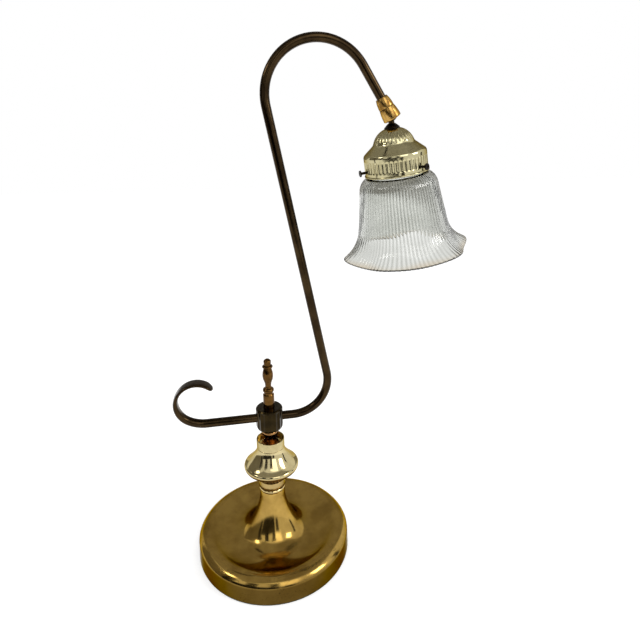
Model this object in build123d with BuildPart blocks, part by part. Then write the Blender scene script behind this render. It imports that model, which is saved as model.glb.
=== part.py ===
from build123d import *
import os
from math import cos, radians, sin, sqrt

os.makedirs("parts", exist_ok=True)

# The frame: +Z up, the origin on the lamp's axis where the felt meets the table,
# and the bent arm in the XZ plane with the shade on the +X side.
# Driving dimensions, in millimetres and degrees.

# Fits
running_gap = 0.1
loose_gap = 0.3
seat_gap = 0.2
joint_gap = 0.3

# Base shell, a disc of spun brass with a rolled shoulder, a dish and a trumpet
base_radius = 88.0
shell_wall = 1.2
skirt_height = 20.0
skirt_draw = 0.7
crest_radius = 79.0
crest_height = 26.6
dish_rim_radius = 70.0
dish_rim_height = 25.6
dish_low_radius = 50.0
dish_low_height = 19.5
trumpet_foot_bend = 27.0
trumpet_foot_turn = 56.0
trumpet_top_radius = 13.8
trumpet_top_height = 75.0

# Felt and cast weight under the shell
felt_thickness = 1.5
felt_inset = 0.6
weight_play = 0.8
weight_flange = 10.5
weight_chamfer = 1.6
weight_land_radius = 54.0
nut_pocket_radius = 14.5
nut_pocket_depth = 8.5
cord_channel_width = 9.0
cord_channel_height = 7.5

# Hollow threaded rod, washer and locknut that hold the stem together
rod_radius = 5.0
rod_bore = 3.6
rod_end_height = 2.6
washer_radius = 12.0
washer_thickness = 1.5
locknut_flats = 15.0
locknut_height = 5.0

# Bush where the mains lead enters the back of the skirt
bush_height = 7.5
bush_barrel_radius = 3.9
bush_bore = 3.2
bush_flange_radius = 6.0
bush_flange = 1.6
bush_lip_radius = 4.7
bush_lip = 1.4
bush_recess = 3.6

# Turned stem pieces
ring_radius = 14.9
ring_height = 4.7
lower_cup_radius = 15.3
lower_cup_height = 9.4
cup_wall = 1.1
cup_lip_edge = 0.45
vase_foot_radius = 12.0
vase_foot_waist = 11.0
vase_foot_height = 7.2
vase_radius = 31.0
vase_wall = 1.2
vase_bowl_height = 18.6
vase_bowl_foot = 12.2
bowl_nose_in = 1.6
bowl_nose_drop = 3.8
shoulder_height = 22.6
shoulder_nose_in = 2.0
shoulder_nose_rise = 3.0
shoulder_flank_turn = 47.0
shoulder_cove_out = 3.4
shoulder_cove_height = 8.4
shoulder_neck_radius = 15.6
cup_radius = 15.8
cup_height = 10.4
foot_radius = 10.8
foot_ring = 2.4
foot_step_radius = 9.2
foot_step_root = 8.5
foot_step = 2.2
foot_neck_radius = 6.8
foot_neck_height = 10.8
foot_bead_root = 7.3
foot_bead_radius = 8.4
foot_bead = 4.2
foot_height = 19.6

# Fluted hub that carries the arm
hub_radius = 15.0
hub_base_radius = 8.6
hub_lip_radius = 9.5
hub_lip = 1.5
hub_round_height = 7.5
hub_height = 28.8
hub_chamfer = 1.5
hub_flutes = 16
hub_flute_radius = 7.6
hub_flute_depth = 0.56
hub_flute_foot = 3.0
hub_flute_margin = 2.4
bar_above_hub_foot = 16.1

# Finial, whose threaded stud clamps the arm in the hub
stud_radius = 3.0
finial_column_radius = 6.3
finial_column_height = 16.6
finial_groove_radius = 5.1
finial_groove = 1.5
finial_ring_radius = 6.3
finial_ring_height = 4.8
finial_waist_radius = 3.4
finial_waist_height = 25.2
finial_bulb_radius = 6.0
finial_bulb_height = 38.0
finial_neck_radius = 3.9
finial_neck_height = 47.2
finial_collar_radius = 5.9
finial_collar = 2.4
finial_knob_radius = 4.2
finial_knob_rise = 2.6
finial_height = 57.6

# Arm, one bent tube whose far end is flattened into a scroll
tube_radius = 4.75
tube_bore = 3.5
lower_bend_start = 27.0
lower_bend_radius = 40.0
leg_lean = 11.3
leg_length = 290.6
top_bend_radius = 53.3
end_lean = 32.0
end_length = 35.3
scroll_start = -68.9
scroll_radii = (38.0, 25.0, 22.1)
scroll_turns = (30.0, 60.0, 144.0)
scroll_steps = 10
tip_turns = (5.0, 12.0, 20.0)
strap_half_width = 8.4
strap_half_thickness = 1.9
strap_full_turn = 156.0

# Ball swivel between the arm and the shade
socket_depth = 8.0
swivel_mouth_radius = 6.1
swivel_seam_radius = 7.9
swivel_seam = 10.8
swivel_radius = 9.35
swivel_bottom = 23.9
swivel_edge = 1.1
countersink_radius = 7.1
ball_centre_depth = 19.5
ball_radius = 6.7
seat_clearance = 0.25
seat_opening_angle = 62.0
spigot_length = 1.7
pad_thickness = 1.6
pad_radius = 5.9
web_hole = 3.0
stem_neck_radius = 3.1
stem_bore = 2.3
stem_thread_radius = 5.0
stem_neck_end = 11.0
stem_end = 23.0

# Pose of the shade: the ball lets its axis lean out and back from plumb
shade_lean = 9.4
shade_set_back = 4.2

# Distances below are measured down the shade's axis from the ball
collar_top = 8.3
collar_top_radius = 3.9
collar_bottom = 13.2
collar_radius = 8.1
collar_edge = 1.0
gallery_wall = 0.8
dome_top_radius = 8.0
dome_middle_radius = 16.2
dome_middle = 18.2
dome_radius = 21.0
dome_end = 26.0
flare_foot_radius = 22.8
flare_foot = 28.9
gallery_radius = 33.1
gallery_round_in = 1.7
gallery_round = 3.6
gallery_straight = 39.7
gallery_end = 59.4
gallery_bead = 1.0
gallery_flutes = 48
gallery_flute_radius = 2.5
gallery_flute_depth = 0.4
gallery_flute_top = 42.5
gallery_flute_end = 54.5
screw_line = 53.0
screw_shank_radius = 1.4
screw_head_radius = 3.4
screw_head = 1.6
screw_head_edge = 0.5
screw_dish_radius = 2.2
screw_dish = 0.4
screw_stand_off = 5.8
screw_gap = 0.4
screw_azimuths = {"left": 180.0, "front": -60.0, "back": 60.0}

# Lampholder inside the gallery
holder_cap_radius = 13.6
holder_cap_top_radius = 6.6
holder_cap_shoulder = 25.0
holder_cap_end = 32.0
holder_cap_rise = 2.7
holder_wall = 0.9
holder_edge = 0.3
holder_end = 62.5
holder_core_top = 27.0
holder_core_end = 39.0
holder_core_rim = 2.2
core_screws = 2
core_screw_radius = 1.6
contact_radius = 3.2
contact_height = 1.8
contact_edge = 0.6
contact_well_radius = 4.5
lamp_thread_radius = 6.95
lamp_thread_wall = 0.5
lamp_thread_top = 41.0
lamp_thread_end = 58.0

# Glass shade
glass_wall = 3.0
glass_lip_radius = 30.0
glass_neck_radius = 28.8
glass_top = 47.6
glass_lip = 2.6
glass_lip_slope = 1.2
glass_root = 2.6
glass_root_drop = 1.5
glass_neck_end = 58.5
glass_shoulder_radius = 41.6
glass_shoulder_end = 73.0
glass_waist_radius = 46.2
glass_waist_end = 103.0
flare_power = 3.6
bell_steps = 7
glass_rim_radius = 66.9
glass_rim_end = 145.0
ruffle_lobes = 6
ruffle_depth = 3.4
ruffle_azimuth = -2.0
ruffle_points_per_lobe = 6

# Mains lead inside the rod and the tube
lead_radius = 2.6
lead_bend = 7.0
lead_hole_radius = 4.0
lead_hole_offset = 0.8


# Heights that follow from the stack on the rod
ring_base = trumpet_top_height
lower_cup_base = ring_base + ring_height
vase_foot_base = lower_cup_base + cup_wall
bowl_base = vase_foot_base + vase_foot_height
seam_height = bowl_base + vase_bowl_height
cup_base = seam_height + shoulder_height
foot_base = cup_base + cup_wall
hub_base = foot_base + foot_height
hub_top = hub_base + hub_height
bar_height = hub_base + bar_above_hub_foot
rod_hole = rod_radius + loose_gap


# Base shell: the outline runs up the skirt, over the shoulder, through the dish and up
# the trumpet, whose top plate takes the rod. The shell is open underneath.
skirt_top_radius = base_radius - skirt_draw
with BuildPart() as base_shell:
    with BuildSketch(Plane.XZ):
        with BuildLine():
            Line((base_radius, felt_thickness), (skirt_top_radius, skirt_height))
            ThreePointArc(
                (skirt_top_radius, skirt_height),
                (crest_radius, crest_height),
                (dish_rim_radius, dish_rim_height),
            )
            dish_low = (dish_low_radius, dish_low_height)
            TangentArc(dish_low, (dish_rim_radius, dish_rim_height), tangent=(1, 0))
            trumpet_foot = JernArc(
                dish_low, (-1, 0), trumpet_foot_bend, -trumpet_foot_turn
            )
            TangentArc(
                trumpet_foot @ 1,
                (trumpet_top_radius, trumpet_top_height),
                tangent=trumpet_foot % 1,
            )
            Line((trumpet_top_radius, trumpet_top_height), (rod_hole, trumpet_top_height))
            Line((rod_hole, trumpet_top_height), (rod_hole, felt_thickness))
            Line((rod_hole, felt_thickness), (base_radius, felt_thickness))
        make_face()
        offset(amount=-shell_wall, kind=Kind.INTERSECTION, mode=Mode.SUBTRACT)
        with BuildLine():
            Polyline(
                (0, 0),
                (base_radius - shell_wall, 0),
                (base_radius - shell_wall, felt_thickness + shell_wall),
                (rod_hole + shell_wall, felt_thickness + shell_wall),
                (rod_hole + shell_wall, trumpet_top_height - shell_wall),
                (0, trumpet_top_height - shell_wall),
                close=True,
            )
        make_face(mode=Mode.SUBTRACT)
    revolve(axis=Axis.Z)
    with BuildSketch(Plane.ZX.offset(base_radius - bush_barrel_radius)):
        with Locations((bush_height, 0)):
            Circle(bush_barrel_radius + running_gap)
    extrude(amount=2 * bush_barrel_radius, mode=Mode.SUBTRACT)
base_shell.part.label = "base_shell"
export_step(base_shell.part, "parts/base_shell.step")

# Felt disc glued under the base
with BuildPart() as felt_pad:
    with BuildSketch():
        Circle(base_radius - felt_inset)
    extrude(amount=felt_thickness)
felt_pad.part.label = "felt_pad"
export_step(felt_pad.part, "parts/felt_pad.step")

# Cast weight: a flange under the shoulder and a raised land that the dish sits on,
# with a pocket for the locknut and a channel for the lead
weight_radius = base_radius - skirt_draw - shell_wall - weight_play
weight_top = dish_low_height - shell_wall - seat_gap
flange_top = felt_thickness + weight_flange
pocket_top = felt_thickness + nut_pocket_depth
land_edge = weight_land_radius - (weight_top - flange_top)
with BuildPart() as base_weight:
    with BuildSketch(Plane.XZ):
        with BuildLine():
            Polyline(
                (rod_hole, felt_thickness),
                (weight_radius, felt_thickness),
                (weight_radius, flange_top - weight_chamfer),
                (weight_radius - weight_chamfer, flange_top),
                (weight_land_radius, flange_top),
                (land_edge, weight_top),
                (rod_hole, weight_top),
                close=True,
            )
        make_face()
    revolve(axis=Axis.Z)
    with BuildSketch(Plane.XY.offset(felt_thickness)):
        Circle(nut_pocket_radius)
    extrude(amount=nut_pocket_depth, mode=Mode.SUBTRACT)
    with BuildSketch(Plane.XY.offset(felt_thickness)):
        with Locations((0, weight_radius / 2)):
            Rectangle(cord_channel_width, weight_radius)
    extrude(amount=cord_channel_height, mode=Mode.SUBTRACT)
    with BuildSketch(Plane.XY.offset(felt_thickness)):
        with Locations((0, weight_radius)):
            Rectangle(2 * bush_flange_radius, 2 * bush_recess)
    extrude(amount=weight_flange, mode=Mode.SUBTRACT)
base_weight.part.label = "base_weight"
export_step(base_weight.part, "parts/base_weight.step")

# Bush for the lead, pressed through the back of the skirt from outside
skirt_at_bush = base_radius - skirt_draw * (bush_height - felt_thickness) / (
    skirt_height - felt_thickness
)
skirt_inside = skirt_at_bush - shell_wall
lip_face = sqrt(skirt_inside**2 - bush_lip_radius**2) - running_gap
with BuildPart() as cord_bush:
    with BuildSketch(Plane.ZX.offset(lip_face - bush_lip)):
        with Locations((bush_height, 0)):
            Circle(bush_lip_radius)
    extrude(amount=bush_lip)
    with BuildSketch(Plane.ZX.offset(lip_face)):
        with Locations((bush_height, 0)):
            Circle(bush_barrel_radius)
    extrude(amount=base_radius + running_gap - lip_face)
    with BuildSketch(Plane.ZX.offset(base_radius + running_gap)):
        with Locations((bush_height, 0)):
            Circle(bush_flange_radius)
    flange = extrude(amount=bush_flange)
    fillet(flange.faces().sort_by(Axis.Y)[-1].edges(), bush_flange / 2)
    with BuildSketch(Plane.ZX.offset(lip_face - bush_lip)):
        with Locations((bush_height, 0)):
            Circle(bush_bore)
    extrude(amount=base_radius, mode=Mode.SUBTRACT)
cord_bush.part.label = "cord_bush"
export_step(cord_bush.part, "parts/cord_bush.step")

# Threaded rod that runs from the locknut up into the hub
rod_top = bar_height - tube_radius - running_gap
with BuildPart() as stem_rod:
    with BuildSketch(Plane.XY.offset(rod_end_height)):
        Circle(rod_radius)
        Circle(rod_bore, mode=Mode.SUBTRACT)
    extrude(amount=rod_top - rod_end_height)
stem_rod.part.label = "stem_rod"
export_step(stem_rod.part, "parts/stem_rod.step")

# Washer and locknut in the pocket of the weight
washer_base = pocket_top - washer_thickness
with BuildPart() as rod_washer:
    with BuildSketch(Plane.XY.offset(washer_base)):
        Circle(washer_radius)
        Circle(rod_hole, mode=Mode.SUBTRACT)
    extrude(amount=washer_thickness)
rod_washer.part.label = "rod_washer"
export_step(rod_washer.part, "parts/rod_washer.step")

with BuildPart() as rod_locknut:
    with BuildSketch(Plane.XY.offset(washer_base - locknut_height)):
        RegularPolygon(locknut_flats / 2, 6, major_radius=False)
        Circle(rod_radius, mode=Mode.SUBTRACT)
    extrude(amount=locknut_height)
rod_locknut.part.label = "rod_locknut"
export_step(rod_locknut.part, "parts/rod_locknut.step")

# Bright ring on top of the trumpet
with BuildPart() as neck_ring:
    with BuildSketch(Plane.XZ):
        with BuildLine():
            Line((rod_hole, ring_base), (ring_radius - ring_height / 2, ring_base))
            ThreePointArc(
                (ring_radius - ring_height / 2, ring_base),
                (ring_radius, ring_base + ring_height / 2),
                (ring_radius - ring_height / 2, lower_cup_base),
            )
            Line((ring_radius - ring_height / 2, lower_cup_base), (rod_hole, lower_cup_base))
            Line((rod_hole, lower_cup_base), (rod_hole, ring_base))
        make_face()
    revolve(axis=Axis.Z)
neck_ring.part.label = "neck_ring"
export_step(neck_ring.part, "parts/neck_ring.step")

# Open cup on the ring, which the foot of the vase stands in
with BuildPart() as lower_cup:
    with BuildSketch(Plane.XY.offset(lower_cup_base)):
        Circle(lower_cup_radius)
    extrude(amount=lower_cup_height)
    with BuildSketch(Plane.XY.offset(vase_foot_base)):
        Circle(lower_cup_radius - cup_wall)
    extrude(amount=lower_cup_height, mode=Mode.SUBTRACT)
    fillet(lower_cup.edges().group_by(Axis.Z)[-1], cup_lip_edge)
    fillet(lower_cup.edges().group_by(Axis.Z)[0], cup_wall)
    with BuildSketch(Plane.XY.offset(lower_cup_base)):
        Circle(rod_hole)
    extrude(amount=lower_cup_height, mode=Mode.SUBTRACT)
lower_cup.part.label = "lower_cup"
export_step(lower_cup.part, "parts/lower_cup.step")

# Waisted foot under the bowl
with BuildPart() as vase_foot:
    with BuildSketch(Plane.XZ):
        with BuildLine():
            Line((rod_hole, vase_foot_base), (vase_foot_radius, vase_foot_base))
            ThreePointArc(
                (vase_foot_radius, vase_foot_base),
                (vase_foot_waist, (vase_foot_base + bowl_base) / 2),
                (vase_foot_radius, bowl_base),
            )
            Line((vase_foot_radius, bowl_base), (rod_hole, bowl_base))
            Line((rod_hole, bowl_base), (rod_hole, vase_foot_base))
        make_face()
    revolve(axis=Axis.Z)
vase_foot.part.label = "vase_foot"
export_step(vase_foot.part, "parts/vase_foot.step")

# Lower bowl of the vase. Its outline is carried past the axis and above the seam by one
# wall, so that the inset leaves the hollow open there.
bowl_nose = (vase_radius - bowl_nose_in, seam_height - bowl_nose_drop)
with BuildPart() as vase_bowl:
    with BuildSketch(Plane.XZ):
        with BuildLine():
            Line((-vase_wall, bowl_base), (vase_bowl_foot, bowl_base))
            nose = TangentArc((vase_radius, seam_height), bowl_nose, tangent=(0, -1))
            TangentArc(nose @ 1, (vase_bowl_foot, bowl_base), tangent=nose % 1)
            Polyline(
                (vase_radius, seam_height),
                (vase_radius, seam_height + vase_wall),
                (-vase_wall, seam_height + vase_wall),
                (-vase_wall, bowl_base),
            )
        make_face()
        offset(amount=-vase_wall, kind=Kind.INTERSECTION, mode=Mode.SUBTRACT)
        with BuildLine():
            Polyline(
                (-vase_wall, bowl_base),
                (rod_hole, bowl_base),
                (rod_hole, seam_height),
                (vase_radius, seam_height),
                (vase_radius, seam_height + vase_wall),
                (-vase_wall, seam_height + vase_wall),
                close=True,
            )
        make_face(mode=Mode.SUBTRACT)
    revolve(axis=Axis.Z)
vase_bowl.part.label = "vase_bowl"
export_step(vase_bowl.part, "parts/vase_bowl.step")

# Shoulder of the vase: a rounded nose, a crease, a flank and the cove under the cup
shoulder_nose = (vase_radius - shoulder_nose_in, seam_height + shoulder_nose_rise)
shoulder_cove = (shoulder_neck_radius + shoulder_cove_out, cup_base - shoulder_cove_height)
flank_way = (-sin(radians(shoulder_flank_turn)), cos(radians(shoulder_flank_turn)))
with BuildPart() as vase_shoulder:
    with BuildSketch(Plane.XZ):
        with BuildLine():
            Line((vase_radius, seam_height - vase_wall), (vase_radius, seam_height))
            TangentArc((vase_radius, seam_height), shoulder_nose, tangent=(0, 1))
            flank = TangentArc(shoulder_nose, shoulder_cove, tangent=flank_way)
            TangentArc(flank @ 1, (shoulder_neck_radius, cup_base), tangent=flank % 1)
            Polyline(
                (shoulder_neck_radius, cup_base),
                (-vase_wall, cup_base),
                (-vase_wall, seam_height - vase_wall),
                (vase_radius, seam_height - vase_wall),
            )
        make_face()
        offset(amount=-vase_wall, mode=Mode.SUBTRACT)
        with BuildLine():
            Polyline(
                (-vase_wall, cup_base),
                (rod_hole, cup_base),
                (rod_hole, seam_height),
                (vase_radius, seam_height),
                (vase_radius, seam_height - vase_wall),
                (-vase_wall, seam_height - vase_wall),
                close=True,
            )
        make_face(mode=Mode.SUBTRACT)
    revolve(axis=Axis.Z)
vase_shoulder.part.label = "vase_shoulder"
export_step(vase_shoulder.part, "parts/vase_shoulder.step")

# Open cup on top of the vase
with BuildPart() as stem_cup:
    with BuildSketch(Plane.XY.offset(cup_base)):
        Circle(cup_radius)
    extrude(amount=cup_height)
    with BuildSketch(Plane.XY.offset(cup_base + cup_wall)):
        Circle(cup_radius - cup_wall)
    extrude(amount=cup_height, mode=Mode.SUBTRACT)
    fillet(stem_cup.edges().group_by(Axis.Z)[-1], cup_lip_edge)
    fillet(stem_cup.edges().group_by(Axis.Z)[0], cup_wall)
    with BuildSketch(Plane.XY.offset(cup_base)):
        Circle(rod_hole)
    extrude(amount=cup_height, mode=Mode.SUBTRACT)
stem_cup.part.label = "stem_cup"
export_step(stem_cup.part, "parts/stem_cup.step")

# Turned foot of the hub, standing in the cup: a ring, a stepped bead, a necked spool and
# a bead under the hub
foot_ring_top = foot_base + foot_ring
foot_step_top = foot_ring_top + foot_step
foot_neck = (foot_neck_radius, foot_base + foot_neck_height)
foot_bead_base = hub_base - foot_bead
with BuildPart() as hub_foot:
    with BuildSketch(Plane.XZ):
        with BuildLine():
            Polyline(
                (rod_hole, hub_base),
                (rod_hole, foot_base),
                (foot_radius, foot_base),
                (foot_radius, foot_ring_top),
                (foot_step_root, foot_ring_top),
            )
            ThreePointArc(
                (foot_step_root, foot_ring_top),
                (foot_step_radius, (foot_ring_top + foot_step_top) / 2),
                (foot_step_root, foot_step_top),
            )
            TangentArc(foot_neck, (foot_step_root, foot_step_top), tangent=(0, -1))
            TangentArc(foot_neck, (foot_bead_root, foot_bead_base), tangent=(0, 1))
            ThreePointArc(
                (foot_bead_root, foot_bead_base),
                (foot_bead_radius, (foot_bead_base + hub_base) / 2),
                (foot_bead_root, hub_base),
            )
            Line((foot_bead_root, hub_base), (rod_hole, hub_base))
        make_face()
    revolve(axis=Axis.Z)
hub_foot.part.label = "hub_foot"
export_step(hub_foot.part, "parts/hub_foot.step")

# Fluted hub: a turned body with a rounded underside and scooped flutes, bored across for
# the arm, from below for the rod and from above for the stud of the finial
tube_hole = tube_radius + running_gap
flute_line = hub_radius + hub_flute_radius - hub_flute_depth
flute_base = hub_base + hub_flute_foot
with BuildPart() as arm_hub:
    with BuildSketch(Plane.XZ):
        with BuildLine():
            Polyline(
                (0, hub_base),
                (hub_base_radius, hub_base),
                (hub_lip_radius, hub_base + hub_lip),
            )
            TangentArc(
                (hub_radius, hub_base + hub_round_height),
                (hub_lip_radius, hub_base + hub_lip),
                tangent=(0, -1),
            )
            Polyline(
                (hub_radius, hub_base + hub_round_height),
                (hub_radius, hub_top - hub_chamfer),
                (hub_radius - hub_chamfer, hub_top),
                (0, hub_top),
                (0, hub_base),
            )
        make_face()
    revolve(axis=Axis.Z)
    with BuildSketch(Plane.XY.offset(flute_base)):
        with PolarLocations(flute_line, hub_flutes, start_angle=180 / hub_flutes):
            Circle(hub_flute_radius)
    extrude(amount=hub_top - hub_flute_margin - flute_base, mode=Mode.SUBTRACT)
    with BuildSketch(Plane.XY.offset(hub_base)):
        Circle(rod_radius)
    extrude(amount=bar_above_hub_foot, mode=Mode.SUBTRACT)
    with BuildSketch(Plane.XY.offset(bar_height)):
        Circle(stud_radius)
    extrude(amount=hub_height, mode=Mode.SUBTRACT)
    with BuildSketch(Plane.YZ.offset(-hub_radius)):
        with Locations((0, bar_height)):
            Circle(tube_hole)
    extrude(amount=2 * hub_radius, mode=Mode.SUBTRACT)
arm_hub.part.label = "arm_hub"
export_step(arm_hub.part, "parts/arm_hub.step")

# Finial, turned in one piece with its stud, which bears on the arm
stud_end = bar_height + tube_radius + running_gap
ring_low = hub_top + finial_column_height + finial_groove
ring_high = ring_low + finial_ring_height
waist_height = hub_top + finial_waist_height
collar_base = hub_top + finial_neck_height
collar_top_edge = collar_base + finial_collar
bulb_height = hub_top + finial_bulb_height
knob_shoulder = hub_top + finial_height - finial_knob_rise
finial_top = hub_top + finial_height
knob_arc = (finial_knob_radius**2 + finial_knob_rise**2) / (2 * finial_knob_rise)
with BuildPart() as finial:
    with BuildSketch(Plane.XZ):
        with BuildLine():
            Polyline(
                (0, finial_top),
                (0, stud_end),
                (stud_radius, stud_end),
                (stud_radius, hub_top),
                (finial_column_radius, hub_top),
                (finial_column_radius, ring_low - 2 * finial_groove),
                (finial_groove_radius, ring_low - finial_groove),
                (finial_groove_radius, ring_low),
            )
            ThreePointArc(
                (finial_groove_radius, ring_low),
                (finial_ring_radius, (ring_low + ring_high) / 2),
                (finial_groove_radius, ring_high),
            )
            TangentArc(
                (finial_waist_radius, waist_height),
                (finial_groove_radius, ring_high),
                tangent=(0, -1),
            )
            waist = Vector(finial_waist_radius, waist_height)
            bulb = Vector(finial_bulb_radius, bulb_height)
            TangentArc(waist, (waist + bulb) / 2, tangent=(0, 1))
            TangentArc(bulb, (waist + bulb) / 2, tangent=(0, -1))
            TangentArc(bulb, (finial_neck_radius, collar_base), tangent=(0, 1))
            ThreePointArc(
                (finial_neck_radius, collar_base),
                (finial_collar_radius, (collar_base + collar_top_edge) / 2),
                (finial_neck_radius, collar_top_edge),
            )
            Line((finial_neck_radius, collar_top_edge), (finial_knob_radius, knob_shoulder))
            RadiusArc((finial_knob_radius, knob_shoulder), (0, finial_top), -knob_arc)
        make_face()
    revolve(axis=Axis.Z)
finial.part.label = "finial"
export_step(finial.part, "parts/finial.step")


def heading(turn):
    """Unit direction in the XZ plane, turned clockwise from straight up."""
    return Vector(sin(radians(turn)), 0, cos(radians(turn)))


# Centreline of the arm: the level bar, the lower bend, the leaning leg, the top bend
# and the straight end that drops into the swivel
bar_end = Vector(lower_bend_start, 0, bar_height)
lower_centre = bar_end + Vector(0, 0, lower_bend_radius)
leg_foot = lower_centre + heading(90 - leg_lean) * lower_bend_radius
leg_head = leg_foot + heading(-leg_lean) * leg_length
top_centre = leg_head + heading(90 - leg_lean) * top_bend_radius
end_start = top_centre + heading(90 - end_lean) * top_bend_radius
barrel_direction = heading(180 - end_lean)
swivel_mouth = end_start + barrel_direction * end_length
scroll_foot = Vector(scroll_start, 0, bar_height)
lower_middle = lower_centre + heading((90 - leg_lean + 180) / 2) * lower_bend_radius
top_middle = top_centre + heading((-leg_lean - end_lean) / 2) * top_bend_radius
tube_end = swivel_mouth + barrel_direction * socket_depth


def arm_line(start, end):
    """The arm's centreline from a point on the bar to a point past the last bend."""
    Line(start, bar_end)
    ThreePointArc(bar_end, lower_middle, leg_foot)
    Line(leg_foot, leg_head)
    ThreePointArc(leg_head, top_middle, end_start)
    Line(end_start, end)


def scroll_spot(turn):
    """Place and heading of the scroll's centreline after it has turned by an angle."""
    spot, turned = scroll_foot, 0.0
    for radius, arc in zip(scroll_radii, scroll_turns):
        step = min(max(turn - turned, 0.0), arc)
        centre = spot + heading(turned) * radius
        spot = centre - heading(turned + step) * radius
        turned += step
    return spot, heading(turned - 90)


def strap_shape(turn, total):
    """Half thickness and half width of the scroll where it has turned by an angle."""
    share = min(turn / strap_full_turn, 1.0)
    flat = share * share * (3 - 2 * share)
    left = radians(total - turn) * scroll_radii[-1]
    tip = sqrt(max(1 - (1 - min(left / strap_half_width, 1.0)) ** 2, 0.0))
    thick = tube_radius + (strap_half_thickness - tube_radius) * flat
    wide = tube_radius + (strap_half_width - tube_radius) * flat
    return thick, wide * max(tip, strap_half_thickness / strap_half_width)


# Arm: a hollow tube, with the solid flattened scroll at its left end
scroll_total = sum(scroll_turns)
even_turns = [scroll_total * i / scroll_steps for i in range(scroll_steps)]
scroll_stations = even_turns + [scroll_total - t for t in reversed(tip_turns)] + [scroll_total]
with BuildPart() as arm_tube:
    for turn in sorted(scroll_stations):
        spot, along = scroll_spot(turn)
        thick, wide = strap_shape(turn, scroll_total)
        with BuildSketch(Plane(origin=spot, x_dir=(0, 1, 0), z_dir=along)):
            Ellipse(wide, thick)
    loft()
    with BuildLine() as arm_path:
        arm_line(scroll_foot, tube_end)
    with BuildSketch(Plane(origin=scroll_foot, x_dir=(0, 1, 0), z_dir=(1, 0, 0))):
        Circle(tube_radius)
    sweep(path=arm_path.wires()[0])
    bore_foot = scroll_foot + Vector(tube_radius, 0, 0)
    with BuildLine() as bore_path:
        arm_line(bore_foot, tube_end)
    with BuildSketch(Plane(origin=bore_foot, x_dir=(0, 1, 0), z_dir=(1, 0, 0))):
        Circle(tube_bore)
    sweep(path=bore_path.wires()[0], mode=Mode.SUBTRACT)
    with BuildSketch(Plane.XY.offset(bar_height - tube_radius - running_gap)):
        with Locations((lead_hole_offset, 0)):
            Circle(lead_hole_radius)
    extrude(amount=tube_radius, mode=Mode.SUBTRACT)
arm_tube.part.label = "arm_tube"
export_step(arm_tube.part, "parts/arm_tube.step")

# Twin lead, up the rod, round into the bar and along the arm to the swivel
lead_centre = Vector(lead_bend, 0, bar_height - lead_bend)
lead_turn = lead_centre + heading(-90) * lead_bend
lead_level = lead_centre + heading(0) * lead_bend
with BuildPart() as lamp_lead:
    with BuildLine() as lead_path:
        Line((0, 0, rod_end_height), lead_turn)
        ThreePointArc(lead_turn, lead_centre + heading(-45) * lead_bend, lead_level)
        arm_line(lead_level, tube_end)
    with BuildSketch(Plane.XY.offset(rod_end_height)):
        Circle(lead_radius)
    sweep(path=lead_path.wires()[0])
lamp_lead.part.label = "lamp_lead"
export_step(lamp_lead.part, "parts/lamp_lead.step")


# Swivel body, fixed on the end of the tube. Depths run down the tube's end from its mouth.
barrel_axis = Axis(swivel_mouth, barrel_direction)
barrel_side = barrel_direction.cross(Vector(0, 1, 0))
barrel_plane = Plane(origin=swivel_mouth, x_dir=barrel_side, z_dir=(0, 1, 0))
pad_top = swivel_seam - seat_gap + running_gap
pad_end = pad_top + pad_thickness
seat_radius = ball_radius + seat_clearance
spigot_radius = seat_radius - running_gap
socket_hole = tube_radius + running_gap
with BuildPart() as swivel_body:
    with BuildSketch(barrel_plane):
        with BuildLine():
            Line((socket_hole, 0), (swivel_mouth_radius, 0))
            TangentArc(
                (swivel_seam_radius, swivel_seam), (swivel_mouth_radius, 0), tangent=(0, -1)
            )
            Polyline(
                (swivel_seam_radius, swivel_seam),
                (spigot_radius, swivel_seam),
                (spigot_radius, swivel_seam + spigot_length),
                (pad_radius + running_gap, swivel_seam + spigot_length),
                (pad_radius + running_gap, pad_top),
                (web_hole, pad_top),
                (web_hole, socket_depth + running_gap),
                (socket_hole, socket_depth + running_gap),
                (socket_hole, 0),
            )
        make_face()
    revolve(axis=barrel_axis)
swivel_body.part.label = "swivel_body"
export_step(swivel_body.part, "parts/swivel_body.step")

# Fibre pad that drags on the ball
with BuildPart() as swivel_pad:
    with BuildSketch(barrel_plane):
        with Locations(((pad_radius + web_hole) / 2, (pad_top + pad_end) / 2)):
            Rectangle(pad_radius - web_hole, pad_thickness)
    revolve(axis=barrel_axis)
swivel_pad.part.label = "swivel_pad"
export_step(swivel_pad.part, "parts/swivel_pad.step")

# Cap of the swivel, turning on the spigot and closing round the ball
cap_top = swivel_seam + joint_gap
cap_turn = swivel_bottom - swivel_edge
lip_depth = ball_centre_depth + seat_radius * cos(radians(seat_opening_angle))
lip_radius = seat_radius * sin(radians(seat_opening_angle))
seat_middle = radians((90 + seat_opening_angle) / 2)
with BuildPart() as swivel_cap:
    with BuildSketch(barrel_plane):
        with BuildLine():
            Line((seat_radius, cap_top), (swivel_seam_radius, cap_top))
            TangentArc((swivel_radius, cap_turn), (swivel_seam_radius, cap_top), tangent=(0, -1))
            TangentArc(
                (swivel_radius, cap_turn),
                (swivel_radius - swivel_edge, swivel_bottom),
                tangent=(0, 1),
            )
            Polyline(
                (swivel_radius - swivel_edge, swivel_bottom),
                (countersink_radius, swivel_bottom),
                (lip_radius, lip_depth),
            )
            ThreePointArc(
                (lip_radius, lip_depth),
                (
                    seat_radius * sin(seat_middle),
                    ball_centre_depth + seat_radius * cos(seat_middle),
                ),
                (seat_radius, ball_centre_depth),
            )
            Line((seat_radius, ball_centre_depth), (seat_radius, cap_top))
        make_face()
    revolve(axis=barrel_axis)
swivel_cap.part.label = "swivel_cap"
export_step(swivel_cap.part, "parts/swivel_cap.step")

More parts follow.
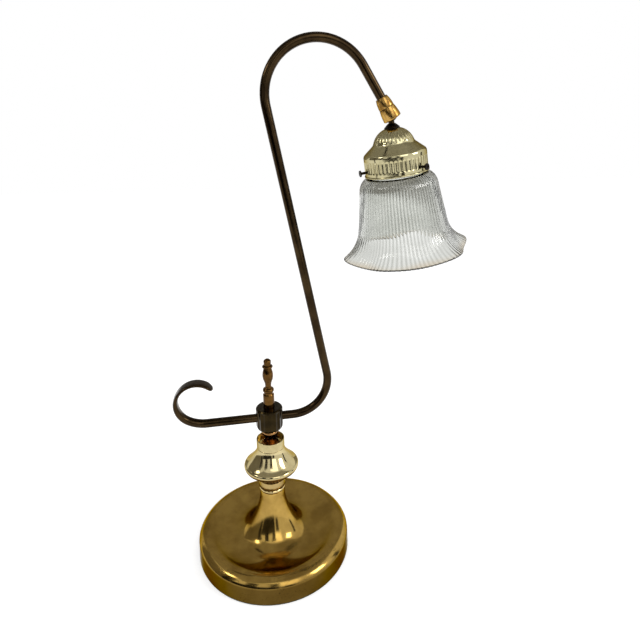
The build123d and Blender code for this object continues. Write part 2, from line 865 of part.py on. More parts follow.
# The shade's own frame hangs from the ball. Depths run down its axis.
ball_centre = swivel_mouth + barrel_direction * ball_centre_depth
back = radians(shade_set_back)
shade_direction = Vector(
    sin(radians(shade_lean)) * cos(back), sin(back), -cos(radians(shade_lean)) * cos(back)
)
shade_axis = Axis(ball_centre, shade_direction)
shade_side = shade_direction.cross(Vector(0, 1, 0)).normalized()
shade_back = shade_side.cross(shade_direction)
shade_plane = Plane(origin=ball_centre, x_dir=shade_side, z_dir=shade_back)


def shade_level(depth):
    """Plane square to the shade's axis at a depth, facing up towards the ball."""
    return Plane(
        origin=ball_centre + shade_direction * depth,
        x_dir=shade_side,
        z_dir=shade_direction * -1,
    )


# Ball and hollow threaded stem
with BuildPart() as ball_stem:
    with BuildSketch(shade_plane):
        with BuildLine():
            neck_root = sqrt(ball_radius**2 - stem_neck_radius**2)
            Line((0, -ball_radius), (0, stem_end))
            ThreePointArc((0, -ball_radius), (ball_radius, 0), (stem_neck_radius, neck_root))
            Polyline(
                (stem_neck_radius, neck_root),
                (stem_neck_radius, stem_neck_end),
                (stem_thread_radius, stem_neck_end),
                (stem_thread_radius, stem_end),
                (0, stem_end),
            )
        make_face()
    revolve(axis=shade_axis)
    with BuildSketch(shade_level(stem_end)):
        Circle(stem_bore)
    extrude(amount=stem_end + ball_radius, mode=Mode.SUBTRACT)
ball_stem.part.label = "ball_stem"
export_step(ball_stem.part, "parts/ball_stem.step")

# Black cone that locks the stem to the gallery
stem_hole = stem_thread_radius + running_gap
with BuildPart() as swivel_collar:
    with BuildSketch(shade_plane):
        with BuildLine():
            Polyline(
                (stem_neck_radius + running_gap, collar_top),
                (collar_top_radius, collar_top),
                (collar_radius, collar_bottom - collar_edge),
                (collar_radius, collar_bottom),
                (stem_hole, collar_bottom),
                (stem_hole, stem_neck_end - running_gap),
                (stem_neck_radius + running_gap, stem_neck_end - running_gap),
                close=True,
            )
        make_face()
    revolve(axis=shade_axis)
swivel_collar.part.label = "swivel_collar"
export_step(swivel_collar.part, "parts/swivel_collar.step")

# Scoop that cuts one flute of the gallery: a rod with round ends, standing on its middle
scoop_line = gallery_flute_radius - gallery_flute_depth
scoop_nose = sqrt(gallery_flute_radius**2 - scoop_line**2)
scoop_half = (gallery_flute_end - gallery_flute_top) / 2 - scoop_nose
scoop_top = scoop_half + gallery_flute_radius
with BuildPart() as flute_scoop:
    with BuildSketch(Plane.XZ):
        with BuildLine():
            Line((0, -scoop_top), (0, scoop_top))
            RadiusArc((0, scoop_top), (gallery_flute_radius, scoop_half), gallery_flute_radius)
            Line((gallery_flute_radius, scoop_half), (gallery_flute_radius, -scoop_half))
            RadiusArc((gallery_flute_radius, -scoop_half), (0, -scoop_top), gallery_flute_radius)
        make_face()
    revolve(axis=Axis.Z)

# Gallery: a spun dome, a flare and a straight fluted wall that ends in a bead
gallery_hole = gallery_radius - gallery_wall
gallery_hip = (gallery_radius - gallery_round_in, gallery_straight - gallery_round)
with BuildPart() as gallery:
    with BuildSketch(shade_plane):
        with BuildLine():
            Line((stem_hole, collar_bottom), (dome_top_radius, collar_bottom))
            dome = ThreePointArc(
                (dome_top_radius, collar_bottom),
                (dome_middle_radius, dome_middle),
                (dome_radius, dome_end),
            )
            TangentArc((dome_radius, dome_end), (flare_foot_radius, flare_foot), tangent=dome % 1)
            Line((flare_foot_radius, flare_foot), gallery_hip)
            TangentArc((gallery_radius, gallery_straight), gallery_hip, tangent=(0, -1))
            Polyline(
                (gallery_radius, gallery_straight),
                (gallery_radius, gallery_end),
                (stem_hole, gallery_end),
                (stem_hole, collar_bottom),
            )
        make_face()
        offset(amount=-gallery_wall, kind=Kind.INTERSECTION, mode=Mode.SUBTRACT)
        with BuildLine():
            Polyline(
                (0, collar_bottom + gallery_wall),
                (stem_hole + gallery_wall, collar_bottom + gallery_wall),
                (stem_hole + gallery_wall, gallery_end - gallery_wall),
                (gallery_hole, gallery_end - gallery_wall),
                (gallery_hole, gallery_end),
                (0, gallery_end),
                close=True,
            )
        make_face(mode=Mode.SUBTRACT)
        with BuildLine():
            ThreePointArc(
                (gallery_radius, gallery_end - 2 * gallery_bead),
                (gallery_radius + gallery_bead, gallery_end - gallery_bead),
                (gallery_radius, gallery_end),
            )
            Line((gallery_radius, gallery_end), (gallery_radius, gallery_end - 2 * gallery_bead))
        make_face()
    revolve(axis=shade_axis)
    with Locations(shade_level((gallery_flute_top + gallery_flute_end) / 2)):
        with PolarLocations(gallery_radius + scoop_line, gallery_flutes):
            add(flute_scoop.part, mode=Mode.SUBTRACT)
    for azimuth in screw_azimuths.values():
        radial = shade_side.rotate(shade_axis, -azimuth)
        with BuildSketch(
            Plane(origin=ball_centre + shade_direction * screw_line, z_dir=radial)
        ):
            Circle(screw_shank_radius + running_gap)
        extrude(amount=gallery_radius + screw_stand_off, mode=Mode.SUBTRACT)
gallery.part.label = "gallery"
export_step(gallery.part, "parts/gallery.step")

# Three thumbscrews that pinch the glass under its lip
screw_tip = glass_neck_radius + screw_gap
for side, azimuth in screw_azimuths.items():
    radial = shade_side.rotate(shade_axis, -azimuth)
    line_spot = ball_centre + shade_direction * screw_line
    head_start = gallery_radius + screw_stand_off
    with BuildPart() as thumbscrew:
        with BuildSketch(Plane(origin=line_spot + radial * screw_tip, z_dir=radial)):
            Circle(screw_shank_radius)
        extrude(amount=head_start - screw_tip)
        with BuildSketch(Plane(origin=line_spot + radial * head_start, z_dir=radial)):
            Circle(screw_head_radius)
        disc = extrude(amount=screw_head)
        fillet(disc.edges().filter_by(GeomType.CIRCLE), screw_head_edge)
        face_spot = line_spot + radial * (head_start + screw_head)
        with BuildSketch(Plane(origin=face_spot, z_dir=radial)):
            Circle(screw_dish_radius)
        extrude(amount=-screw_dish, mode=Mode.SUBTRACT)
    thumbscrew.part.label = "screw_" + side
    export_step(thumbscrew.part, "parts/screw_" + side + ".step")

# Lampholder: a brass cap on the stem, the porcelain core, the lamp's screw shell, its
# centre contact and the brass skirt
cap_depth = collar_bottom + gallery_wall
cap_hip = cap_depth + holder_cap_rise
with BuildPart() as holder_cap:
    with BuildSketch(shade_plane):
        with BuildLine():
            Line((stem_hole, cap_depth), (holder_cap_top_radius, cap_depth))
            Line((holder_cap_top_radius, cap_depth), (holder_cap_top_radius, cap_hip))
            TangentArc(
                (holder_cap_radius, holder_cap_shoulder),
                (holder_cap_top_radius, cap_hip),
                tangent=(0, -1),
            )
            Polyline(
                (holder_cap_radius, holder_cap_shoulder),
                (holder_cap_radius, holder_cap_end),
                (stem_hole, holder_cap_end),
                (stem_hole, cap_depth),
            )
        make_face()
        offset(amount=-holder_wall, kind=Kind.INTERSECTION, mode=Mode.SUBTRACT)
        with BuildLine():
            Polyline(
                (0, cap_depth + holder_wall),
                (stem_hole + holder_wall, cap_depth + holder_wall),
                (stem_hole + holder_wall, holder_cap_end - holder_wall),
                (holder_cap_radius - holder_wall, holder_cap_end - holder_wall),
                (holder_cap_radius - holder_wall, holder_cap_end),
                (0, holder_cap_end),
                close=True,
            )
        make_face(mode=Mode.SUBTRACT)
    revolve(axis=shade_axis)
holder_cap.part.label = "holder_cap"
export_step(holder_cap.part, "parts/holder_cap.step")

core_radius = holder_cap_radius - holder_wall - running_gap
lamp_shell_outside = lamp_thread_radius + lamp_thread_wall
with BuildPart() as holder_core:
    with BuildSketch(shade_level(holder_core_top)):
        Circle(core_radius)
    extrude(amount=holder_core_top - holder_core_end)
    with BuildSketch(shade_level(holder_core_end)):
        Circle(lamp_shell_outside + holder_core_rim)
    extrude(amount=holder_core_end - lamp_thread_end)
    with BuildSketch(shade_level(holder_core_end)):
        Circle(contact_well_radius)
    extrude(amount=holder_core_end - lamp_thread_top, mode=Mode.SUBTRACT)
    with BuildSketch(shade_level(lamp_thread_top)):
        Circle(lamp_shell_outside + running_gap)
    extrude(amount=lamp_thread_top - lamp_thread_end, mode=Mode.SUBTRACT)
    with BuildSketch(shade_level(holder_core_top)):
        with PolarLocations(core_radius / 2, core_screws):
            Circle(core_screw_radius)
    extrude(amount=holder_core_top - holder_core_end, mode=Mode.SUBTRACT)
holder_core.part.label = "holder_core"
export_step(holder_core.part, "parts/holder_core.step")

with BuildPart() as holder_shell:
    with BuildSketch(shade_level(holder_cap_end)):
        Circle(holder_cap_radius)
        Circle(holder_cap_radius - holder_wall, mode=Mode.SUBTRACT)
    extrude(amount=holder_cap_end - holder_end)
    fillet(holder_shell.edges().group_by(Axis.Z)[0], holder_edge)
holder_shell.part.label = "holder_shell"
export_step(holder_shell.part, "parts/holder_shell.step")

with BuildPart() as lamp_thread:
    with BuildSketch(shade_level(lamp_thread_top)):
        Circle(lamp_shell_outside)
        Circle(lamp_thread_radius, mode=Mode.SUBTRACT)
    extrude(amount=lamp_thread_top - lamp_thread_end)
lamp_thread.part.label = "lamp_thread"
export_step(lamp_thread.part, "parts/lamp_thread.step")

with BuildPart() as centre_contact:
    with BuildSketch(shade_level(holder_core_end)):
        Circle(contact_radius)
    extrude(amount=-contact_height)
    fillet(centre_contact.edges().filter_by(GeomType.CIRCLE).sort_by(Axis.Z)[0], contact_edge)
centre_contact.part.label = "centre_contact"
export_step(centre_contact.part, "parts/centre_contact.step")


def flare_radius(depth):
    """Mean outside radius of the bell, and its slope, at a depth below the waist."""
    length = glass_rim_end - glass_waist_end
    share = max(depth - glass_waist_end, 0.0) / length
    spread = glass_rim_radius - glass_waist_radius - bell_slope * length
    radius = glass_waist_radius + bell_slope * (depth - glass_waist_end)
    slope = bell_slope + spread * flare_power * share ** (flare_power - 1) / length
    return radius + spread * share**flare_power, slope, share


def ruffle_points(depth, inset):
    """Points round the glass at one depth, waved by the ruffle of the rim."""
    radius, slope, share = flare_radius(depth)
    mean = radius - inset * sqrt(1 + slope * slope)
    total = ruffle_lobes * ruffle_points_per_lobe
    points = []
    for turn in [360 * step / total for step in range(total)]:
        wave = cos(radians(ruffle_lobes * (turn - ruffle_azimuth)))
        reach = mean + ruffle_depth * share * share * wave
        points.append((reach * cos(radians(turn)), reach * sin(radians(turn))))
    return points


# Glass shade: a lipped neck, a round shoulder and a bell that flares to a ruffled rim
bell_slope = (glass_waist_radius - glass_shoulder_radius) / (glass_waist_end - glass_shoulder_end)
bell_depths = [
    glass_waist_end + (glass_rim_end - glass_waist_end) * step / bell_steps
    for step in range(1, bell_steps + 1)
]
neck_inside = glass_neck_radius - glass_wall
waist_inside = glass_waist_radius - glass_wall * sqrt(1 + bell_slope * bell_slope)
with BuildPart() as glass_shade:
    with BuildSketch(shade_plane) as glass_outline:
        with BuildLine():
            Polyline(
                (0, glass_top),
                (glass_lip_radius, glass_top),
                (glass_lip_radius, glass_top + glass_lip),
                (glass_neck_radius, glass_top + glass_lip + glass_lip_slope),
                (glass_neck_radius, glass_neck_end),
            )
            root = TangentArc(
                (glass_neck_radius, glass_neck_end),
                (glass_neck_radius + glass_root, glass_neck_end + glass_root_drop),
                tangent=(0, 1),
            )
            TangentArc(
                (glass_shoulder_radius, glass_shoulder_end), root @ 1, tangent=(-bell_slope, -1)
            )
            Polyline(
                (glass_shoulder_radius, glass_shoulder_end),
                (glass_waist_radius, glass_waist_end),
                (0, glass_waist_end),
                (0, glass_top),
            )
        make_face()
    revolve(axis=shade_axis)
    with BuildSketch(shade_level(glass_waist_end)):
        Circle(glass_waist_radius)
    for depth in bell_depths:
        with BuildSketch(shade_level(depth)):
            with BuildLine():
                Spline(*ruffle_points(depth, 0.0), periodic=True)
            make_face()
    loft()
    with BuildSketch(shade_plane):
        add(glass_outline.sketch_local)
        offset(amount=-glass_wall, kind=Kind.INTERSECTION, mode=Mode.REPLACE)
        with BuildLine():
            Polyline(
                (0, glass_top),
                (neck_inside, glass_top),
                (neck_inside, glass_waist_end - glass_wall),
                (waist_inside - bell_slope * glass_wall, glass_waist_end - glass_wall),
                (waist_inside, glass_waist_end),
                (0, glass_waist_end),
                close=True,
            )
        make_face()
    revolve(axis=shade_axis, mode=Mode.SUBTRACT)
    with BuildSketch(shade_level(glass_waist_end)):
        Circle(waist_inside)
    for depth in bell_depths:
        with BuildSketch(shade_level(depth)):
            with BuildLine():
                Spline(*ruffle_points(depth, glass_wall), periodic=True)
            make_face()
    loft(mode=Mode.SUBTRACT)
glass_shade.part.label = "glass_shade"
export_step(glass_shade.part, "parts/glass_shade.step")
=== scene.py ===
import logging
import math
from collections.abc import Callable, Mapping, Sequence
from dataclasses import dataclass, field
from enum import Enum
from typing import Any

import bmesh
import bpy
from mathutils import Matrix, Vector


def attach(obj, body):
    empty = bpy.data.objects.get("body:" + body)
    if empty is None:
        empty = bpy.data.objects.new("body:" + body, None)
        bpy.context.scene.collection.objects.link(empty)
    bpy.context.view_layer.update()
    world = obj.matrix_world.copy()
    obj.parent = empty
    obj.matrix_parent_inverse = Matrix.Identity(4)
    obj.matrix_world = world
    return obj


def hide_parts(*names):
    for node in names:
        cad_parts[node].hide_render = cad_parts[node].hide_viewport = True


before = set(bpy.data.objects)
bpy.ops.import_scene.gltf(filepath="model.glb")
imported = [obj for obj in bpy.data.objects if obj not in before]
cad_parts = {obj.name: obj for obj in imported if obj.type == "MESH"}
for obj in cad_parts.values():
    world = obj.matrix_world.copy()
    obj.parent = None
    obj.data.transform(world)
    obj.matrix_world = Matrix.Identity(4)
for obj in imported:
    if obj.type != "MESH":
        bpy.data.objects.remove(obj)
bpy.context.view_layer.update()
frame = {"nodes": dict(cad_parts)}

# Tulip lamp: a round dished brass base, a turned stem, a tube arm bent into a tall arch
# and a bell of ribbed glass on a ball swivel. Sizes are in millimetres until a point
# is placed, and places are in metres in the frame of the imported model.

LOG = logging.getLogger("tulip_lamp")
MM = 0.001
Point = tuple[float, float]
Colour = tuple[float, float, float]
Triple = tuple[float, float, float]


def heading(turn: float) -> Vector:
    """Unit direction in the plane of the arm, in degrees clockwise from straight up."""
    return Vector((math.sin(math.radians(turn)), 0.0, math.cos(math.radians(turn))))


def ease(value: float, low: float, high: float) -> float:
    """Smooth step of a value from 0 at the low end to 1 at the high end."""
    share = min(max((value - low) / (high - low), 0.0), 1.0)
    return share * share * (3.0 - 2.0 * share)


def linear(red: int, green: int, blue: int) -> Colour:
    """Turns a display colour of 0 to 255 a channel into the linear colour of a shader."""

    def channel(value: int) -> float:
        part = value / 255.0
        return part / 12.92 if part <= 0.04045 else ((part + 0.055) / 1.055) ** 2.4

    return channel(red), channel(green), channel(blue)


class Outline:
    """Outline of a turned piece, point by point: radius from the axis, and height along it."""

    STEP = math.radians(5.0)

    def __init__(self, radius: float, height: float) -> None:
        """Starts the outline.

        Args:
            radius: Distance of the first point from the axis, in millimetres.
            height: Its height along the axis, in millimetres.
        """
        self.points: list[Point] = [(radius, height)]
        self.aim: Point = (0.0, 1.0)

    def line(self, radius: float, height: float) -> "Outline":
        """Adds a straight run to a point."""
        last = self.points[-1]
        run = math.hypot(radius - last[0], height - last[1])
        self.aim = ((radius - last[0]) / run, (height - last[1]) / run)
        self.points.append((radius, height))
        return self

    def _swing(self, start: Point, aim: Point, end: Point) -> tuple[list[Point], Point]:
        """Points of the arc that leaves a point along a direction and ends at another.

        Args:
            start: Where the arc starts.
            aim: Its direction there.
            end: Where it ends.

        Returns:
            The points after the start, and the direction at the end.
        """
        size = math.hypot(*aim)
        ax, ay = aim[0] / size, aim[1] / size
        dx, dy = end[0] - start[0], end[1] - start[1]
        off = -ay * dx + ax * dy
        if abs(off) < 1e-6:
            return [end], (ax, ay)
        radius = (dx * dx + dy * dy) / (2.0 * off)
        cx, cy = start[0] - ay * radius, start[1] + ax * radius
        first = math.atan2(start[1] - cy, start[0] - cx)
        sweep = math.atan2(end[1] - cy, end[0] - cx) - first
        if radius > 0.0:
            sweep %= 2.0 * math.pi
        else:
            sweep = -((-sweep) % (2.0 * math.pi))
        count = max(3, math.ceil(abs(sweep) / self.STEP))
        points = []
        for step in range(1, count + 1):
            turn = first + sweep * step / count
            points.append((cx + abs(radius) * math.cos(turn), cy + abs(radius) * math.sin(turn)))
        points[-1] = end
        cos, sin = math.cos(sweep), math.sin(sweep)
        return points, (ax * cos - ay * sin, ax * sin + ay * cos)

    def bend(self, radius: float, height: float, aim: Point | None = None) -> "Outline":
        """Adds an arc that goes on smoothly, or leaves along a given direction.

        Args:
            radius: Radius of its end.
            height: Height of its end.
            aim: Direction it leaves along, or None to go on smoothly.

        Returns:
            The outline itself.
        """
        points, self.aim = self._swing(self.points[-1], aim or self.aim, (radius, height))
        self.points += points
        return self

    def arrive(self, radius: float, height: float, aim: Point) -> "Outline":
        """Adds an arc that ends at a point along a given direction."""
        start = self.points[-1]
        points, _ = self._swing((radius, height), (-aim[0], -aim[1]), start)
        self.points += points[-2::-1] + [(radius, height)]
        self.aim = aim
        return self

    def arc(self, middle: Point, end: Point) -> "Outline":
        """Adds the arc through a middle point to an end point."""
        (ax, ay), (bx, by), (cx, cy) = self.points[-1], middle, end
        twice = 2.0 * (ax * (by - cy) + bx * (cy - ay) + cx * (ay - by))
        sa, sb, sc = ax * ax + ay * ay, bx * bx + by * by, cx * cx + cy * cy
        ux = (sa * (by - cy) + sb * (cy - ay) + sc * (ay - by)) / twice
        uy = (sa * (cx - bx) + sb * (ax - cx) + sc * (bx - ax)) / twice
        side = 1.0 if twice > 0.0 else -1.0
        return self.bend(end[0], end[1], (-(ay - uy) * side, (ax - ux) * side))

    def turned(self, radius: float, degrees: float) -> "Outline":
        """Adds an arc of a radius that goes on smoothly and turns by an angle, left if positive."""
        side = 1.0 if degrees > 0.0 else -1.0
        ax, ay = self.aim
        last = self.points[-1]
        cx, cy = last[0] - ay * radius * side, last[1] + ax * radius * side
        turn = math.radians(degrees)
        dx, dy = last[0] - cx, last[1] - cy
        end = (
            cx + dx * math.cos(turn) - dy * math.sin(turn),
            cy + dx * math.sin(turn) + dy * math.cos(turn),
        )
        return self.bend(*end)

    def eased(self, radius: float, closed: bool = False) -> list[Point]:
        """The outline with its sharp corners rounded.

        Args:
            radius: How far each corner is cut back, in millimetres.
            closed: Whether the last point joins the first.

        Returns:
            The points of the rounded outline.
        """
        made: list[Point] = []
        count = len(self.points)
        for index, (x, y) in enumerate(self.points):
            if not closed and index in (0, count - 1):
                made.append((x, y))
                continue
            before, after = self.points[index - 1], self.points[(index + 1) % count]
            ax, ay, bx, by = x - before[0], y - before[1], after[0] - x, after[1] - y
            la, lb = math.hypot(ax, ay), math.hypot(bx, by)
            if la < 1e-6 or lb < 1e-6:
                continue
            bent = abs(math.atan2(ax * by - ay * bx, ax * bx + ay * by))
            cut = min(radius, 0.4 * la, 0.4 * lb)
            if bent < math.radians(22.0) or x < 1e-6:
                made.append((x, y))
                continue
            first = (x - ax / la * cut, y - ay / la * cut)
            last = (x + bx / lb * cut, y + by / lb * cut)
            for step in range(5):
                t = step / 4.0
                u = 1.0 - t
                made.append(
                    (
                        u * u * first[0] + 2 * u * t * x + t * t * last[0],
                        u * u * first[1] + 2 * u * t * y + t * t * last[1],
                    )
                )
        return made


def outward(points: Sequence[Point]) -> list[Point]:
    """Unit normals to the right of an open outline's run, which is its outside."""
    normals = []
    for index in range(len(points)):
        before, after = points[max(index - 1, 0)], points[min(index + 1, len(points) - 1)]
        dx, dy = after[0] - before[0], after[1] - before[1]
        size = math.hypot(dx, dy) or 1.0
        normals.append((dy / size, -dx / size))
    return normals


def sheet_of(points: Sequence[Point], wall: float) -> list[Point]:
    """Closed outline of a thin wall: the outside, then the inside back again."""
    inside = [
        (max(p[0] - n[0] * wall, 0.0), p[1] - n[1] * wall)
        for p, n in zip(points, outward(points))
    ]
    return list(points) + inside[::-1]


@dataclass(frozen=True)
class Spindle:
    """The axis that a piece is turned about, in the frame of the model."""

    origin: Vector
    along: Vector
    side: Vector
    across: Vector

    def spot(self, radius: float, height: float, turn: float) -> Vector:
        """Place of a point at a radius and height in millimetres and an angle in radians."""
        arm = self.side * math.cos(turn) + self.across * math.sin(turn)
        return self.origin + (arm * radius + self.along * height) * MM


Swell = Callable[[float, float, float], float]


def finish_mesh(name: str, spots: list[Vector], faces: list[list[int]], crease: float) -> bpy.types.Object:
    """Makes a smooth-shaded object from points and faces.

    Args:
        name: Name of the piece.
        spots: Its points, in metres.
        faces: Its faces, as lists of point numbers.
        crease: Edges sharper than this many degrees stay sharp.

    Returns:
        The object, linked to the scene.
    """
    mesh = bpy.data.meshes.new(name)
    mesh.from_pydata(spots, [], faces)
    shape = bmesh.new()
    shape.from_mesh(mesh)
    bmesh.ops.remove_doubles(shape, verts=shape.verts, dist=1e-7)
    bmesh.ops.recalc_face_normals(shape, faces=shape.faces)
    shape.to_mesh(mesh)
    shape.free()
    mesh.polygons.foreach_set("use_smooth", [True] * len(mesh.polygons))
    mesh.set_sharp_from_angle(angle=math.radians(crease))
    piece = bpy.data.objects.new(name, mesh)
    bpy.context.scene.collection.objects.link(piece)
    return piece


def turned_piece(
    name: str,
    points: Sequence[Point],
    spindle: Spindle,
    sides: int,
    swell: Swell | None = None,
    warp: Callable[[float, float, float], Point] | None = None,
    skin: int | None = None,
    crease: float = 38.0,
) -> bpy.types.Object:
    """Turns a closed outline about a spindle.

    Args:
        name: Name of the piece.
        points: The closed outline, outside first.
        spindle: The axis it is turned about.
        sides: How many columns of faces go round it.
        swell: How far a point of the outside stands proud, from radius, height and angle.
        warp: New radius and height of any point, from radius, height and angle.
        skin: How many of the points are the outside that swells; all, if None.
        crease: Edges sharper than this many degrees stay sharp.

    Returns:
        The piece.
    """
    normals = outward(points)
    spots: list[Vector] = []
    rings: list[list[int]] = []
    proud = len(points) if skin is None else skin
    for index, ((radius, height), normal) in enumerate(zip(points, normals)):
        if radius < 1e-6:
            spots.append(spindle.spot(0.0, height, 0.0))
            rings.append([len(spots) - 1] * sides)
            continue
        ring = []
        for column in range(sides):
            turn = 2.0 * math.pi * column / sides
            r, h = radius, height
            if swell and index < proud:
                lift = swell(radius, height, turn)
                r, h = r + normal[0] * lift, h + normal[1] * lift
            if warp:
                r, h = warp(r, h, turn)
            ring.append(len(spots))
            spots.append(spindle.spot(r, h, turn))
        rings.append(ring)
    faces: list[list[int]] = []
    for index, ring in enumerate(rings):
        after = rings[(index + 1) % len(rings)]
        for column in range(sides):
            beside = (column + 1) % sides
            corners = [ring[column], ring[beside], after[beside], after[column]]
            unique = list(dict.fromkeys(corners))
            if len(unique) > 2:
                faces.append(unique)
    return finish_mesh(name, spots, faces, crease)


@dataclass
class Station:
    """One section of a swept bar: centre, run, half sizes in millimetres, and squareness."""

    centre: Vector
    along: Vector
    thick: float
    wide: float
    square: float = 2.0


def swept_piece(name: str, stations: Sequence[Station], sides: int) -> bpy.types.Object:
    """Sweeps an oval or squarish section through stations in the plane of the arm.

    Args:
        name: Name of the piece.
        stations: The sections, from one end to the other.
        sides: How many columns of faces go round the bar.

    Returns:
        The piece, closed at both ends.
    """
    spots: list[Vector] = []
    faces: list[list[int]] = []
    across = Vector((0.0, 1.0, 0.0))
    for station in stations:
        up = station.along.cross(across).normalized()
        for column in range(sides):
            turn = 2.0 * math.pi * column / sides
            cos, sin = math.cos(turn), math.sin(turn)
            flat = math.copysign(abs(cos) ** (2.0 / station.square), cos)
            tall = math.copysign(abs(sin) ** (2.0 / station.square), sin)
            reach = across * (station.wide * flat) + up * (station.thick * tall)
            spots.append((station.centre + reach) * MM)
    for row in range(len(stations) - 1):
        for column in range(sides):
            beside = (column + 1) % sides
            low, high = row * sides, (row + 1) * sides
            faces.append([low + column, low + beside, high + beside, high + column])
    last = (len(stations) - 1) * sides
    faces.append(list(range(sides)))
    faces.append(list(range(last, last + sides)))
    return finish_mesh(name, spots, faces, 40.0)


class Signal:
    """A node's output that adds Math nodes when it is used in a sum."""

    def __init__(self, bench: "Bench", socket: bpy.types.NodeSocket) -> None:
        """Keeps the tree the socket belongs to, and the socket."""
        self.bench = bench
        self.socket = socket

    def _math(self, operation: str, first: Any, second: Any = 0.0) -> "Signal":
        """Adds one Math node.

        Args:
            operation: What it does.
            first: Its first value or signal.
            second: Its second value or signal.

        Returns:
            Its result.
        """
        return self.bench.node("ShaderNodeMath", {"operation": operation}, {0: first, 1: second})

    def __add__(self, other: Any) -> "Signal":
        """Sum."""
        return self._math("ADD", self, other)

    __radd__ = __add__

    def __sub__(self, other: Any) -> "Signal":
        """Difference."""
        return self._math("SUBTRACT", self, other)

    def __rsub__(self, other: Any) -> "Signal":
        """Difference from a number."""
        return self._math("SUBTRACT", other, self)

    def __mul__(self, other: Any) -> "Signal":
        """Product."""
        return self._math("MULTIPLY", self, other)

    __rmul__ = __mul__

    def __truediv__(self, other: Any) -> "Signal":
        """Quotient."""
        return self._math("DIVIDE", self, other)

    def __rtruediv__(self, other: Any) -> "Signal":
        """Quotient of a number."""
        return self._math("DIVIDE", other, self)

    def __pow__(self, other: Any) -> "Signal":
        """Power."""
        return self._math("POWER", self, other)

    def larger(self, other: Any) -> "Signal":
        """The larger of this and another."""
        return self._math("MAXIMUM", self, other)

    def smaller(self, other: Any) -> "Signal":
        """The smaller of this and another."""
        return self._math("MINIMUM", self, other)

    def root(self) -> "Signal":
        """Square root."""
        return self._math("SQRT", self)

    def rise(self, low: float, high: float) -> "Signal":
        """Goes smoothly from 0 to 1 as the value goes from low to high."""
        return self.bench.node(
            "ShaderNodeMapRange",
            {"interpolation_type": "SMOOTHSTEP"},
            {"Value": self, "From Min": low, "From Max": high},
        )


class Bench:
    """One material and the nodes that make it."""

    def __init__(self, name: str) -> None:
        """Starts a material with a bare surface shader."""
        self.material = bpy.data.materials.new(name)
        self.material.use_nodes = True
        self.tree = self.material.node_tree
        self.tree.nodes.clear()
        self.shader = self.tree.nodes.new("ShaderNodeBsdfPrincipled")
        output = self.tree.nodes.new("ShaderNodeOutputMaterial")
        self.tree.links.new(self.shader.outputs[0], output.inputs["Surface"])

    def node(
        self,
        kind: str,
        settings: Mapping[str, Any] | None = None,
        sockets: Mapping[str | int, Any] | None = None,
        output: str | int = 0,
    ) -> Signal:
        """Adds one node.

        Args:
            kind: The node's type.
            settings: Its settings, set first; stops are a ramp's places and colours.
            sockets: Values or signals of its inputs.
            output: The output to hand back.

        Returns:
            That output.
        """
        made = self.tree.nodes.new(kind)
        for key, value in (settings or {}).items():
            if key == "stops":
                ramp = made.color_ramp.elements
                while len(ramp) < len(value):
                    ramp.new(0.5)
                for element, (place, colour) in zip(ramp, value):
                    element.position = place
                    element.color = (*colour, 1.0)
            else:
                setattr(made, key, value)
        for key, value in (sockets or {}).items():
            self.feed(made.inputs[key], value)
        return Signal(self, made.outputs[output])

    def feed(self, socket: bpy.types.NodeSocket, value: Any) -> None:
        """Links a signal to a socket, or sets a plain value on it."""
        if isinstance(value, Signal):
            self.tree.links.new(value.socket, socket)
        elif socket.type == "RGBA":
            socket.default_value = (*value, 1.0)
        else:
            socket.default_value = value

    def place(self) -> Signal:
        """Place on the object, in metres, which moves with it."""
        return self.node("ShaderNodeTexCoord", output="Object")

    def axes(self, vector: Signal) -> tuple[Signal, Signal, Signal]:
        """The three parts of a vector."""
        made = self.tree.nodes.new("ShaderNodeSeparateXYZ")
        self.feed(made.inputs[0], vector)
        x, y, z = (Signal(self, made.outputs[index]) for index in range(3))
        return x, y, z

    def noise(self, place: Signal, scale: float, detail: float = 3.0, rough: float = 0.55) -> Signal:
        """Cloudy noise from 0 to 1, about so many waves a metre."""
        return self.node(
            "ShaderNodeTexNoise",
            sockets={"Vector": place, "Scale": scale, "Detail": detail, "Roughness": rough},
        )

    def blend(self, share: Any, first: Any, second: Any) -> Signal:
        """Colour that goes from the first to the second as the share goes from 0 to 1."""
        return self.node(
            "ShaderNodeMix", {"data_type": "RGBA"}, {0: share, 6: first, 7: second}, output=2
        )

    def bump(self, height: Signal, depth: float, strength: float = 1.0) -> Signal:
        """Normal from a height signal, whose 1 stands so many metres proud."""
        return self.node(
            "ShaderNodeBump", sockets={"Height": height, "Distance": depth, "Strength": strength}
        )

    def surface(self, values: Mapping[str, Any]) -> bpy.types.Material:
        """Sets the surface shader's inputs and hands back the material."""
        for key, value in values.items():
            self.feed(self.shader.inputs[key], value)
        return self.material


